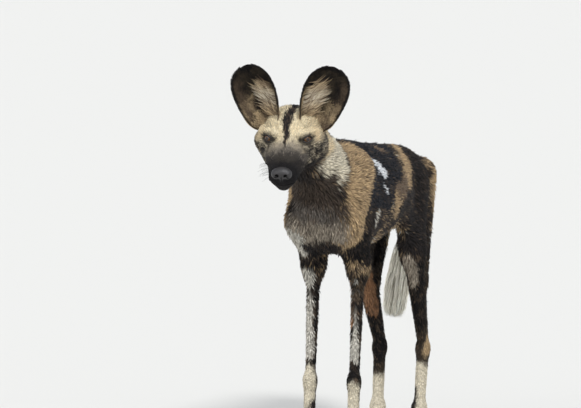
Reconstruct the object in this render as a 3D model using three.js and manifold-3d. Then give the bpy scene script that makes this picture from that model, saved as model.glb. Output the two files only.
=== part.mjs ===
// An African wild dog (Lycaon pictus), adult, standing square and looking ahead, at life size.
// Millimetres. It faces -Y, its left side is +X and up is +Z. The soles stand on z = 0.
// The outline is that of the coat. The flesh is one smooth field of bars and blobs, placed after
// the bones and muscles that they stand for, and thin flat cuts part it into the named nodes.
import * as THREE from "three";
import { mergeVertices } from "three/addons/utils/BufferGeometryUtils.js";
import Module from "manifold-3d";

const wasm = await Module();
wasm.setup();

// Driving dimensions.
const WITHERS = 692;
const CROUP = 661;
const BRISKET = 446;
const CHEST_HALF = 90;
const FORE_Y = -250;
const LEG_X = 50;
const HOCK_Y = { left: 266, right: 272 };
const HOCK_Z = 190;
const EYES = [-13, -522, 722];
const HEAD_YAW = 10;
const HEAD_PITCH = 18;
const HEAD_ROLL = 1;
const EYE_RADIUS = 11.5;
const EAR_LENGTH = 139;
const TAIL_DROP = 350;
const GAP = 0.3;

// Heights and places of the cuts between nodes.
const ELBOW_CUT = 425;
const KNEE_CUT = 388;
const HOCK_CUT = 176;
const PAW_CUT = 62;
const MUZZLE_CUT = -20;
const BRUSH_TOP = 168;

// Cell sizes of the meshes along x, y and z.
const CELLS = {
  trunk: [28, 33, 26],
  neck: [20, 22, 21],
  head: [13, 13, 12.5],
  muzzle: [9.6, 9.6, 9],
  nose: [6, 6, 5.5],
  thigh: [18, 20, 22],
  leg: [12, 13, 26],
  paw: [12, 12.5, 11.5],
  tail: [15, 15, 25],
};

const LOOKS = {
  coat: { color: 0x6b5238, roughness: 0.85, metalness: 0 },
  ear: { color: 0x2a211c, roughness: 0.85, metalness: 0 },
  horn: { color: 0x1b1715, roughness: 0.45, metalness: 0 },
  nose: { color: 0x14141a, roughness: 0.4, metalness: 0 },
  eye: { color: 0x5a3312, roughness: 0.1, metalness: 0 },
};

// Sides of the body: the sign of x for each.
const SIDES = { left: 1, right: -1 };

// Vector helpers.
const add = (a, b) => [a[0] + b[0], a[1] + b[1], a[2] + b[2]];
const sub = (a, b) => [a[0] - b[0], a[1] - b[1], a[2] - b[2]];
const scaled = (a, k) => [a[0] * k, a[1] * k, a[2] * k];
const dot = (a, b) => a[0] * b[0] + a[1] * b[1] + a[2] * b[2];
const cross = (a, b) => [
  a[1] * b[2] - a[2] * b[1],
  a[2] * b[0] - a[0] * b[2],
  a[0] * b[1] - a[1] * b[0],
];
const unit = (a) => scaled(a, 1 / Math.hypot(...a));
const mix = (a, b, t) => a + (b - a) * t;
const mixPoint = (a, b, t) => [mix(a[0], b[0], t), mix(a[1], b[1], t), mix(a[2], b[2], t)];
const clamp = (x, low, high) => Math.min(high, Math.max(low, x));
const radians = (degrees) => (degrees * Math.PI) / 180;
const mirrored = (p, side) => [p[0] * side, p[1], p[2]];

// The head's own axes: u to its left, v backwards, w up, from the point midway between the eyes.
function headAxes() {
  const yaw = radians(HEAD_YAW);
  const pitch = radians(HEAD_PITCH);
  const roll = radians(HEAD_ROLL);
  const level = [-Math.sin(yaw), Math.cos(yaw), 0];
  const side = [Math.cos(yaw), Math.sin(yaw), 0];
  const back = add(scaled(level, Math.cos(pitch)), [0, 0, Math.sin(pitch)]);
  const crown = add(scaled(level, -Math.sin(pitch)), [0, 0, Math.cos(pitch)]);
  return {
    u: add(scaled(side, Math.cos(roll)), scaled(crown, -Math.sin(roll))),
    v: back,
    w: add(scaled(crown, Math.cos(roll)), scaled(side, Math.sin(roll))),
  };
}
const HEAD = headAxes();
const toWorld = (p) =>
  add(EYES, add(scaled(HEAD.u, p[0]), add(scaled(HEAD.v, p[1]), scaled(HEAD.w, p[2]))));
const toHead = (p) => {
  const d = sub(p, EYES);
  return [dot(d, HEAD.u), dot(d, HEAD.v), dot(d, HEAD.w)];
};

// A tapered round bar from a to b, its width across x times wide.
function bar(a, b, ra, rb, blend, wide = 1) {
  const start = [a[0] / wide, a[1], a[2]];
  const axis = sub([b[0] / wide, b[1], b[2]], start);
  const span = dot(axis, axis);
  const distance = (p) => {
    const q = sub([p[0] / wide, p[1], p[2]], start);
    const t = clamp(dot(q, axis) / span, 0, 1);
    return (Math.hypot(...sub(q, scaled(axis, t))) - mix(ra, rb, t)) * Math.min(1, wide);
  };
  return { blend, distance };
}

// An ellipsoid.
function blob(centre, radii, blend) {
  const distance = (p) => {
    const q = sub(p, centre);
    const near = Math.hypot(q[0] / radii[0], q[1] / radii[1], q[2] / radii[2]);
    const slope = Math.hypot(q[0] / radii[0] ** 2, q[1] / radii[1] ** 2, q[2] / radii[2] ** 2);
    return slope > 1e-9 ? (near * (near - 1)) / slope : -Math.min(...radii);
  };
  return { blend, distance };
}

// A value along a row of stations, smooth through each of them.
function along(stations, column, y) {
  const last = stations.length - 1;
  let i = 0;
  while (i < last - 1 && y > stations[i + 1][0]) i += 1;
  const slope = (k) => {
    const a = stations[Math.max(0, k - 1)];
    const b = stations[Math.min(last, k + 1)];
    return (b[column] - a[column]) / (b[0] - a[0]);
  };
  const step = stations[i + 1][0] - stations[i][0];
  const t = clamp((y - stations[i][0]) / step, 0, 1);
  const p = stations[i][column];
  const q = stations[i + 1][column];
  const m = slope(i) * step;
  const n = slope(i + 1) * step;
  return p + m * t + (3 * (q - p) - 2 * m - n) * t * t + (2 * (p - q) + m + n) * t * t * t;
}

// The trunk as upright ovals along y: y, back line, under line, half width.
const TRUNK = [
  [-335, 600, 512, 48],
  [-290, 660, 472, 70],
  [-220, WITHERS, BRISKET, CHEST_HALF - 5],
  [-120, WITHERS - 6, BRISKET - 2, CHEST_HALF],
  [0, WITHERS - 15, BRISKET + 8, CHEST_HALF],
  [100, CROUP + 6, BRISKET + 32, 79],
  [180, CROUP, BRISKET + 60, 65],
  [260, CROUP - 14, BRISKET + 84, 54],
  [335, CROUP - 64, BRISKET + 122, 32],
];
function trunk(blend) {
  const front = TRUNK[0][0];
  const rear = TRUNK[TRUNK.length - 1][0];
  const distance = (p) => {
    const top = along(TRUNK, 1, p[1]);
    const low = along(TRUNK, 2, p[1]);
    const half = along(TRUNK, 3, p[1]);
    const tall = (top - low) / 2;
    const q = Math.hypot(p[0] / half, (p[2] - (top + low) / 2) / tall);
    const ends = Math.max(front - p[1], p[1] - rear);
    return Math.max((q - 1) * Math.min(half, tall), ends);
  };
  return { blend, distance };
}

// Where the parts of a foreleg and a hind leg lie, for the left side.
const FORELEG = {
  blade: [44, -226, 632],
  point: [46, -316, 524],
  triceps: [50, -196, 552],
  elbow: [51, -222, 424],
  wrist: [LEG_X, FORE_Y, 172],
  pastern: [LEG_X, FORE_Y - 10, 58],
  paw: [LEG_X, FORE_Y - 22, 0],
};
const hindLeg = (side) => ({
  hip: [42, 206, 554],
  seat: [40, 296, 582],
  flank: [56, 84, 520],
  knee: [63, 146, 430],
  calf: [56, 226, 350],
  hock: [52, HOCK_Y[side], HOCK_Z],
  heel: [52, HOCK_Y[side] + 16, HOCK_Z + 22],
  pastern: [LEG_X, HOCK_Y[side] - 22, 56],
  paw: [LEG_X, HOCK_Y[side] - 42, 0],
});

// A paw: four toes fanned from the pastern, their soles sunk just below the floor.
const TOES = [
  { x: 24, y: -14, radius: 10.6 },
  { x: 8.6, y: -27, radius: 11.6 },
  { x: -8.6, y: -27, radius: 11.6 },
  { x: -24, y: -14, radius: 10.6 },
];
const TOE_Z = 9;
function pawForm(pastern, paw) {
  const toes = TOES.map((toe) =>
    bar(
      add(paw, [toe.x * 0.62, 12, 28]),
      add(paw, [toe.x, toe.y, TOE_Z]),
      12.5,
      toe.radius,
      5,
    ),
  );
  return [
    bar(pastern, add(paw, [0, 10, 26]), 17.5, 19, 14),
    bar(add(paw, [0, 16, 12]), add(paw, [0, -4, 12]), 16, 15, 8, 1.35),
    ...toes,
  ];
}

function forelegForm(side) {
  const at = (name) => mirrored(FORELEG[name], side);
  return [
    bar(at("blade"), at("point"), 40, 38, 34),
    bar(at("point"), at("elbow"), 38, 28, 26, 0.84),
    bar(at("triceps"), at("elbow"), 34, 26, 30, 0.72),
    bar(at("elbow"), at("wrist"), 27, 17.5, 22, 0.62),
    blob(add(at("wrist"), [0, -2, 2]), [14, 17, 21], 10),
    bar(at("wrist"), at("pastern"), 16, 15, 10, 0.86),
    ...pawForm(at("pastern"), at("paw")),
  ];
}

function hindLegForm(name) {
  const side = SIDES[name];
  const leg = hindLeg(name);
  const at = (joint) => mirrored(leg[joint], side);
  return [
    bar(at("hip"), at("knee"), 65, 42, 30, 0.6),
    bar(at("flank"), at("knee"), 30, 28, 30, 0.6),
    bar(at("seat"), at("calf"), 42, 24, 26, 0.84),
    bar(at("knee"), at("hock"), 37, 16, 22, 0.66),
    bar(at("calf"), at("heel"), 20, 11, 14, 0.72),
    blob(at("hock"), [16, 21, 22], 10),
    bar(at("hock"), at("pastern"), 17.5, 15, 10, 0.84),
    ...pawForm(at("pastern"), at("paw")),
  ];
}

// The neck, from inside the back of the head to the chest.
const NECK = { head: [-5, -436, 706], chest: [0, -270, 590] };
const bodyForm = [
  trunk(0),
  bar(NECK.head, NECK.chest, 64, 92, 40, 0.82),
  bar([0, -350, 556], [0, -286, 502], 40, 44, 34, 1.2),
  bar([0, -232, WITHERS - 36], [0, -120, WITHERS - 44], 34, 30, 30, 1.1),
  ...Object.values(SIDES).flatMap(forelegForm),
  ...Object.keys(SIDES).flatMap(hindLegForm),
];

// The head in its own axes. Pairs lie to both sides of the middle.
const pair = (make) => Object.values(SIDES).map(make);
const headForm = [
  blob([0, 60, 0], [57, 58, 44], 0),
  bar([0, 16, -22], [0, 66, -2], 33, 44, 20, 1.15),
  blob([0, 88, -18], [54, 40, 50], 26),
  ...pair((s) => blob([52 * s, 34, -17], [26, 40, 25], 18)),
  ...pair((s) => bar([45 * s, 54, -40], [33 * s, 2, -47], 29, 21, 16)),
  ...pair((s) => blob([36 * s, 70, -44], [30, 34, 34], 20)),
  ...pair((s) => bar([30 * s, 6, 8], [52 * s, 22, 8], 14, 14, 10)),
  ...pair((s) => bar([43 * s, 8, -22], [25 * s, -44, -32], 17, 15, 14)),
  bar([0, -2, -37], [0, -88, -47], 33, 26, 18, 1.1),
  ...pair((s) => bar([19 * s, 0, -51], [13 * s, -84, -54], 21, 16, 10)),
  bar([0, 20, -68], [0, -80, -71], 22, 15.5, 10, 1.1),
];

const join = (a, b, blend) => {
  const h = Math.max(blend - Math.abs(a - b), 0) / Math.max(blend, 1e-6);
  return Math.min(a, b) - (h * h * blend) / 4;
};
const joined = (forms, p) => forms.reduce((d, form) => join(d, form.distance(p), form.blend), 1e3);
const HEAD_BLEND = 26;
const field = (p) => join(joined(bodyForm, p), joined(headForm, toHead(p)), HEAD_BLEND);
const headField = (p) => field(toWorld(p));

function gradient(form, p) {
  const e = 0.5;
  return [0, 1, 2].map((i) => {
    const step = [0, 0, 0];
    step[i] = e;
    return (form(add(p, step)) - form(sub(p, step))) / (2 * e);
  });
}

// The first place where a ray from outside meets the surface.
function surfaceAlong(form, from, direction) {
  let travelled = 0;
  let p = from;
  while (travelled < 400) {
    p = add(from, scaled(direction, travelled));
    const d = form(p);
    if (Math.abs(d) < 0.02) return p;
    travelled += d * 0.7;
  }
  return p;
}

// The surface of a field inside a box, as a closed mesh: one vertex in each cell that it crosses,
// drawn onto the surface, and two triangles across each grid line that it crosses.
const CORNERS = [0, 1, 2, 3, 4, 5, 6, 7].map((c) => [c & 1, (c >> 1) & 1, (c >> 2) & 1]);
const EDGES = CORNERS.flatMap((_, a) =>
  [1, 2, 4].filter((bit) => !(a & bit)).map((bit) => [a, a | bit]),
);
function surfaceMesh(form, low, high, cell) {
  const count = [0, 1, 2].map((i) => Math.ceil((high[i] - low[i]) / cell[i]) + 3);
  const origin = [0, 1, 2].map((i) => (low[i] + high[i]) / 2 - ((count[i] - 1) * cell[i]) / 2);
  const at = (i, j, k) => add(origin, [i * cell[0], j * cell[1], k * cell[2]]);
  const index = (i, j, k) => i + count[0] * (j + count[1] * k);
  const outside = (p) => Math.max(...[0, 1, 2].map((i) => Math.max(low[i] - p[i], p[i] - high[i])));
  const closed = (p) => Math.max(form(p), outside(p));
  const values = new Float64Array(count[0] * count[1] * count[2]);
  for (let k = 0; k < count[2]; k += 1) {
    for (let j = 0; j < count[1]; j += 1) {
      for (let i = 0; i < count[0]; i += 1) values[index(i, j, k)] = closed(at(i, j, k));
    }
  }
  const vertexOf = new Map();
  const points = [];
  const cellVertex = (i, j, k) => {
    const key = index(i, j, k);
    if (vertexOf.has(key)) return vertexOf.get(key);
    const corner = CORNERS.map((c) => values[index(i + c[0], j + c[1], k + c[2])]);
    let sum = [0, 0, 0];
    let crossed = 0;
    for (const [a, b] of EDGES) {
      if (corner[a] < 0 === corner[b] < 0) continue;
      const t = corner[a] / (corner[a] - corner[b]);
      sum = add(sum, mixPoint(CORNERS[a], CORNERS[b], t));
      crossed += 1;
    }
    const local = scaled(sum, 1 / crossed);
    const base = at(i, j, k);
    let p = add(base, [local[0] * cell[0], local[1] * cell[1], local[2] * cell[2]]);
    for (let turn = 0; turn < 4; turn += 1) {
      const slope = gradient(closed, p);
      const steep = Math.max(dot(slope, slope), 0.05);
      const step = scaled(slope, -closed(p) / steep);
      p = add(p, step).map((x, n) => clamp(x, base[n] + 0.06 * cell[n], base[n] + 0.94 * cell[n]));
    }
    vertexOf.set(key, points.length);
    points.push(p);
    return points.length - 1;
  };
  const faces = [];
  const quad = (a, b, c, d, flip) => {
    const corners = flip ? [d, c, b, a] : [a, b, c, d];
    const [p, q, r, s] = corners.map((n) => points[n]);
    const oneWay = Math.hypot(...sub(p, r)) <= Math.hypot(...sub(q, s));
    const [e, f, g, h] = corners;
    faces.push(...(oneWay ? [[e, f, g], [e, g, h]] : [[f, g, h], [f, h, e]]));
  };
  for (let k = 1; k < count[2] - 1; k += 1) {
    for (let j = 1; j < count[1] - 1; j += 1) {
      for (let i = 1; i < count[0] - 1; i += 1) {
        const here = values[index(i, j, k)] < 0;
        const x = values[index(i + 1, j, k)] < 0;
        const y = values[index(i, j + 1, k)] < 0;
        const z = values[index(i, j, k + 1)] < 0;
        const v = (a, b, c) => cellVertex(i + a, j + b, k + c);
        if (here !== x) quad(v(0, -1, -1), v(0, 0, -1), v(0, 0, 0), v(0, -1, 0), !here);
        if (here !== y) quad(v(-1, 0, -1), v(-1, 0, 0), v(0, 0, 0), v(0, 0, -1), !here);
        if (here !== z) quad(v(-1, -1, 0), v(0, -1, 0), v(0, 0, 0), v(-1, 0, 0), !here);
      }
    }
  }
  return solidFrom(points, faces);
}

// Solids for joining and cutting.
function solidFrom(points, faces) {
  const mesh = new wasm.Mesh({
    numProp: 3,
    vertProperties: new Float32Array(points.flat()),
    triVerts: new Uint32Array(faces.flat()),
  });
  return new wasm.Manifold(mesh);
}
function solidOf(geometry) {
  const bare = geometry.index ? geometry.toNonIndexed() : geometry.clone();
  bare.deleteAttribute("normal");
  bare.deleteAttribute("uv");
  const merged = mergeVertices(bare, 1e-4);
  const mesh = new wasm.Mesh({
    numProp: 3,
    vertProperties: new Float32Array(merged.attributes.position.array),
    triVerts: new Uint32Array(merged.index.array),
  });
  return new wasm.Manifold(mesh);
}
function outwardSolid(points, faces) {
  const solid = solidFrom(points, faces);
  return solid.volume() > 0 ? solid : solidFrom(points, faces.map(([a, b, c]) => [a, c, b]));
}
function geometryOf(solid) {
  const { vertProperties, triVerts } = solid.getMesh();
  const geometry = new THREE.BufferGeometry();
  geometry.setAttribute("position", new THREE.BufferAttribute(vertProperties, 3));
  geometry.setIndex(new THREE.BufferAttribute(triVerts, 1));
  geometry.computeVertexNormals();
  return geometry;
}
const biggest = (a, b) => (Math.abs(b.volume()) > Math.abs(a.volume()) ? b : a);
const largest = (solid) => tidied(solid.decompose().reduce(biggest));

// The same solid with the corners of its shortest edges drawn together, which a cut can leave
// closer than a file can tell apart.
const SHORTEST = 0.06;
function tidied(solid) {
  const { vertProperties, triVerts } = solid.getMesh();
  const count = vertProperties.length / 3;
  const parent = Array.from({ length: count }, (_, i) => i);
  const root = (i) => {
    let at = i;
    while (parent[at] !== at) at = parent[at];
    return at;
  };
  const point = (i) => Array.from(vertProperties.subarray(3 * i, 3 * i + 3));
  for (let n = 0; n < triVerts.length; n += 1) {
    const next = n % 3 === 2 ? n - 2 : n + 1;
    const [a, b] = [root(triVerts[n]), root(triVerts[next])];
    if (a !== b && Math.hypot(...sub(point(a), point(b))) < SHORTEST) parent[b] = a;
  }
  const kept = new Map();
  const points = [];
  const faces = [];
  for (let n = 0; n < triVerts.length; n += 3) {
    const corners = [0, 1, 2].map((k) => root(triVerts[n + k]));
    if (new Set(corners).size < 3) continue;
    for (const c of corners) {
      if (!kept.has(c)) kept.set(c, points.push(point(c)) - 1);
    }
    faces.push(corners.map((c) => kept.get(c)));
  }
  return solidFrom(apart(points, faces), faces);
}

// Corners of different sheets that lie on one spot are drawn a little into their own sheet.
const DRAW_IN = 0.25;
function apart(points, faces) {
  const spots = new Map();
  points.forEach((p, i) => {
    const spot = p.map((x) => Math.round(x * 100)).join();
    spots.set(spot, [...(spots.get(spot) ?? []), i]);
  });
  const shared = new Set([...spots.values()].filter((all) => all.length > 1).flat());
  const normals = new Map([...shared].map((i) => [i, [0, 0, 0]]));
  for (const [a, b, c] of faces) {
    const normal = cross(sub(points[b], points[a]), sub(points[c], points[a]));
    for (const i of [a, b, c]) {
      if (shared.has(i)) normals.set(i, add(normals.get(i), normal));
    }
  }
  return points.map((p, i) => (shared.has(i) ? sub(p, scaled(unit(normals.get(i)), DRAW_IN)) : p));
}

// The same solid with each vertex moved out by a small distance.
function grown(solid, distance) {
  const geometry = geometryOf(solid);
  const normal = geometry.attributes.normal;
  const position = geometry.attributes.position;
  for (let i = 0; i < position.count; i += 1) {
    const x = position.getX(i) + normal.getX(i) * distance;
    const y = position.getY(i) + normal.getY(i) * distance;
    position.setXYZ(i, x, y, position.getZ(i) + normal.getZ(i) * distance);
  }
  return solidOf(geometry);
}

// The same solid spread from its middle, which also moves out the edges of its cuts.
function spread(solid, distance) {
  const { min, max } = solid.boundingBox();
  const middle = mixPoint(min, max, 0.5);
  const factor = 1 + (2 * distance) / Math.min(...sub(max, min));
  return solid.translate(scaled(middle, -1)).scale(factor).translate(middle);
}

// Everything to the side of a plane that its normal points to, less half a gap.
const REACH = 3000;
function halfSpace(point, normal) {
  const geometry = new THREE.BoxGeometry(REACH, REACH, REACH);
  const n = unit(normal);
  const turn = new THREE.Quaternion().setFromUnitVectors(
    new THREE.Vector3(0, 0, 1),
    new THREE.Vector3(...n),
  );
  geometry.applyQuaternion(turn);
  const centre = add(point, scaled(n, REACH / 2 + GAP / 2));
  geometry.translate(...centre);
  return solidOf(geometry);
}

function cutFlesh(form, low, high, cell, planes) {
  const whole = surfaceMesh(form, low, high, cell);
  const cut = planes.reduce((solid, plane) => solid.intersect(halfSpace(...plane)), whole);
  return largest(cut);
}

// The planes of the cuts. Each is a point on it and the direction that the upper node lies in.
const opposite = (plane) => [plane[0], scaled(plane[1], -1)];
const neckAxis = unit(sub(NECK.head, NECK.chest));
const PLANES = {
  nape: [toWorld([0, 86, 0]), sub(toWorld([0, -0.97, 0.24]), EYES)],
  shoulder: [[0, -286, 640], neckAxis],
  elbow: [[0, 0, ELBOW_CUT], [0, 0, 1]],
  haunch: [[0, 100, 430], unit([0, -155, 230])],
  knee: [[0, 0, KNEE_CUT], [0, 0, 1]],
  hock: [[0, 0, HOCK_CUT], [0, 0, 1]],
  paw: [[0, 0, PAW_CUT], [0, 0, 1]],
  brush: [[0, 0, CROUP - BRUSH_TOP], [0, 0, 1]],
  floor: [[0, 0, -GAP / 2], [0, 0, 1]],
};

// The nodes, each with its solid and look, in a group for the body and one for the head.
const nodes = [];
const node = (name, solid, look, group = "body") => nodes.push({ name, solid, look, group });

function torso() {
  const planes = [opposite(PLANES.shoulder), PLANES.elbow, PLANES.haunch];
  return cutFlesh(field, [-150, -400, 395], [150, 420, 730], CELLS.trunk, planes);
}

function neck() {
  const planes = [opposite(PLANES.nape), PLANES.shoulder];
  return cutFlesh(field, [-150, -540, 450], [150, -200, 850], CELLS.neck, planes);
}

// A length of leg on one side of the body, between two heights or planes.
function legLength(side, low, high, cell, planes) {
  const inner = side > 0 ? [0, 130] : [-130, 0];
  const margin = 40;
  const middle = [[0, 0, 0], [side, 0, 0]];
  const from = [inner[0] - 20, low[0], low[1] - margin];
  const to = [inner[1] + 20, high[0], high[1] + margin];
  return cutFlesh(field, from, to, cell, [middle, ...planes]);
}

// A claw from its root inside the toe, bent down to a point.
const CLAW = { length: 16, radius: 3.3, sides: 5, drop: 6 };
function claw(root, extra) {
  const rings = [0, 0.4, 0.75];
  const points = [];
  const faces = [];
  const middle = (t) => add(root, [0, -t * (CLAW.length + extra), -CLAW.drop * t * t + extra / 2]);
  for (const t of rings) {
    const radius = CLAW.radius * (1 - 0.62 * t) + extra;
    for (let i = 0; i < CLAW.sides; i += 1) {
      const angle = (2 * Math.PI * i) / CLAW.sides;
      points.push(add(middle(t), [Math.cos(angle) * radius * 0.8, 0, Math.sin(angle) * radius]));
    }
  }
  const tip = points.push(middle(1)) - 1;
  const base = points.push(middle(0)) - 1;
  const lastRing = (rings.length - 1) * CLAW.sides;
  for (let i = 0; i < CLAW.sides; i += 1) {
    const next = (i + 1) % CLAW.sides;
    faces.push([base, next, i]);
    faces.push([tip, lastRing + i, lastRing + next]);
    for (let r = 0; r < rings.length - 1; r += 1) {
      const a = r * CLAW.sides;
      const b = a + CLAW.sides;
      faces.push([a + i, b + next, b + i]);
      faces.push([a + i, a + next, b + next]);
    }
  }
  return solidFrom(points, faces);
}

function pawWithClaws(kind, name, pawAt) {
  const side = SIDES[name];
  const centre = mirrored(pawAt, side);
  const low = [centre[1] - 80, 0];
  const high = [centre[1] + 80, PAW_CUT];
  const planes = [opposite(PLANES.paw), PLANES.floor];
  let paw = legLength(side, low, high, CELLS.paw, planes);
  TOES.forEach((toe, i) => {
    const root = add(centre, [toe.x, toe.y - 4, TOE_Z + 3]);
    paw = paw.subtract(claw(root, GAP));
    node(`claw_${kind}_${name}_${i + 1}`, claw(root, 0), LOOKS.horn);
  });
  node(`${kind}paw_${name}`, largest(paw), LOOKS.coat);
}

function legs() {
  for (const [name, side] of Object.entries(SIDES)) {
    const fore = [FORELEG.elbow[1] - 90, FORELEG.elbow[1] + 90];
    const foreCuts = [opposite(PLANES.elbow), PLANES.paw];
    const foreleg = legLength(side, [fore[0], PAW_CUT], [fore[1], ELBOW_CUT], CELLS.leg, foreCuts);
    node(`foreleg_${name}`, foreleg, LOOKS.coat);
    pawWithClaws("fore", name, FORELEG.paw);
    const hind = hindLeg(name);
    const thighCuts = [opposite(PLANES.haunch), PLANES.knee];
    const thigh = legLength(side, [40, KNEE_CUT], [410, 640], CELLS.thigh, thighCuts);
    node(`thigh_${name}`, thigh, LOOKS.coat);
    const shankCuts = [opposite(PLANES.knee), PLANES.hock];
    const shank = legLength(side, [40, HOCK_CUT], [360, KNEE_CUT], CELLS.leg, shankCuts);
    node(`shank_${name}`, shank, LOOKS.coat);
    const footCuts = [opposite(PLANES.hock), PLANES.paw];
    const foot = legLength(side, [150, PAW_CUT], [340, HOCK_CUT], CELLS.leg, footCuts);
    node(`hindfoot_${name}`, foot, LOOKS.coat);
    pawWithClaws("hind", name, hind.paw);
  }
}

// Every random draw comes from here, so that the model is the same each time.
const SEED = 7;
let drawn = SEED;
function draw(low, high) {
  drawn = (drawn * 16807) % 2147483647;
  return low + ((high - low) * drawn) / 2147483647;
}

// A lock of hair: flat and tapered, along a spine of points that ends in its tip. Flat is the way
// that its broad face looks.
function lock(spine, flat, width, thickness) {
  const points = [];
  const faces = [];
  const last = spine.length - 1;
  for (let i = 0; i < last; i += 1) {
    const heading = unit(sub(spine[i + 1], spine[i]));
    const across = unit(cross(heading, flat));
    const face = cross(across, heading);
    const taper = Math.sqrt(1 - (i / last) ** 2);
    for (const [a, b] of [[1, 0], [0, 1], [-1, 0], [0, -1]]) {
      const offset = add(scaled(across, (a * width * taper) / 2), scaled(face, (b * thickness * taper) / 2));
      points.push(add(spine[i], offset));
    }
  }
  const tip = points.push(spine[last]) - 1;
  for (let n = 0; n < 4; n += 1) {
    const next = (n + 1) % 4;
    for (let i = 0; i < last - 1; i += 1) {
      const a = i * 4;
      faces.push([a + n, a + next, a + 4 + next], [a + n, a + 4 + next, a + 4 + n]);
    }
    faces.push([(last - 1) * 4 + n, (last - 1) * 4 + next, tip]);
  }
  faces.push([0, 2, 1], [0, 3, 2]);
  return outwardSolid(points, faces);
}

// The tail hangs from the rump, back and then down, a little to the animal's right.
const TAIL = [
  { at: [0, 300, CROUP - 58], core: 25, reach: 25 },
  { at: [-2, 346, CROUP - 96], core: 23, reach: 24 },
  { at: [-8, 364, CROUP - 152], core: 18, reach: 23 },
  { at: [-15, 364, CROUP - 215], core: 14, reach: 26 },
  { at: [-25, 352, CROUP - 285], core: 13, reach: 31 },
  { at: [-31, 338, CROUP - 345], core: 10, reach: 28 },
  { at: [-34, 332, CROUP - 375], core: 5, reach: 20 },
];
const TAIL_TIP = [-35, 328, CROUP - 62 - TAIL_DROP];
const TAIL_CLEAR = 0.9;
// A place on the tail: t runs from 0 at the root to the number of stations less one.
function tailAt(t) {
  const i = clamp(Math.floor(t), 0, TAIL.length - 2);
  const [from, to] = [TAIL[i], TAIL[i + 1]];
  return {
    at: mixPoint(from.at, to.at, t - i),
    down: unit(sub(to.at, from.at)),
    core: mix(from.core, to.core, t - i),
    reach: mix(from.reach, to.reach, t - i),
  };
}
// The brush: tiers of locks from the middle of the tail to its tip, each tier over the next.
const BRUSH = { first: 2.5, last: 5.6, tiers: 5, round: 5, length: 84, width: 29, thickness: 7 };
function brushLocks() {
  const locks = [];
  for (let tier = 0; tier < BRUSH.tiers; tier += 1) {
    const t = mix(BRUSH.first, BRUSH.last, tier / (BRUSH.tiers - 1));
    const here = tailAt(t);
    for (let n = 0; n < BRUSH.round; n += 1) {
      const turn = (2 * Math.PI * (n + (tier % 2) / 2 + draw(-0.12, 0.12))) / BRUSH.round;
      const side = unit(cross(here.down, [Math.cos(turn), Math.sin(turn), 0.01]));
      const out = cross(side, here.down);
      const length = BRUSH.length * draw(0.82, 1.12) * (tier < 2 ? 0.8 : 1);
      const end = Math.min(1, (here.at[2] - TAIL_TIP[2]) / length);
      const step = (along, away) =>
        add(add(here.at, scaled(here.down, length * along * Math.max(end, 0.45))), scaled(out, away));
      const away = here.reach * draw(0.9, 1.04);
      const spine = [
        step(0, here.core * 0.5),
        step(0.42, away * 0.86),
        step(1, away * draw(0.66, 0.96)),
      ];
      locks.push(lock(spine, out, BRUSH.width * draw(0.85, 1.1), BRUSH.thickness));
    }
  }
  return locks;
}
function tail(carriers) {
  const forms = TAIL.slice(1).map((to, i) => bar(TAIL[i].at, to.at, TAIL[i].core, to.core, 12));
  const form = (p) => joined(forms, p);
  const core = surfaceMesh(form, [-75, 250, CROUP - 400], [40, 410, CROUP], CELLS.tail);
  const clear = carriers.flatMap((body) => [grown(body, TAIL_CLEAR), spread(body, TAIL_CLEAR)]);
  const dock = clear.reduce((solid, cutter) => solid.subtract(cutter), core);
  const upper = largest(dock.intersect(halfSpace(...PLANES.brush)));
  const lower = brushLocks().reduce((solid, piece) => solid.add(piece), core);
  return { upper, brush: largest(lower.intersect(halfSpace(...opposite(PLANES.brush)))) };
}

// The eyes look ahead and a little outward, each sunk so that only its front stands proud.
const EYE_SPREAD = 40.5;
const EYE_OUTWARD = radians(27);
const EYE_PROUD = 3.6;
const LID = 2.6;
function eyeSeat(side) {
  const gaze = unit([Math.sin(EYE_OUTWARD) * side, -Math.cos(EYE_OUTWARD), 0.05]);
  const from = add([EYE_SPREAD * side, 0, 0], scaled(gaze, 60));
  const skin = surfaceAlong(headField, from, scaled(gaze, -1));
  return { gaze, centre: sub(skin, scaled(gaze, EYE_RADIUS - EYE_PROUD)) };
}
function ball(centre, radius) {
  const geometry = new THREE.SphereGeometry(radius, 14, 9);
  geometry.translate(...centre);
  return solidOf(geometry);
}
// The opening between the lids: an almond, its inner corner a little lower, drawn along the gaze.
const ALMOND = { half: 10.6, up: 7.6, down: 6.2, slant: 0.8, depth: 40 };
function lidOpening(seat, side) {
  const { half, up, down } = ALMOND;
  const slant = ALMOND.slant * side;
  const shape = new THREE.Shape();
  shape.moveTo(-half, -slant);
  shape.bezierCurveTo(-half * 0.5, -down * 1.2, half * 0.5, -down * 1.2, half, slant);
  shape.bezierCurveTo(half * 0.5, up * 1.2, -half * 0.5, up * 1.2, -half, -slant);
  const { depth } = ALMOND;
  const geometry = new THREE.ExtrudeGeometry(shape, { depth, bevelEnabled: false, curveSegments: 6 });
  const across = unit(cross([0, 0, 1], seat.gaze));
  const basis = new THREE.Matrix4().makeBasis(
    new THREE.Vector3(...across),
    new THREE.Vector3(...cross(seat.gaze, across)),
    new THREE.Vector3(...seat.gaze),
  );
  geometry.applyMatrix4(basis);
  geometry.translate(...seat.centre);
  return solidOf(geometry);
}

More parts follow.
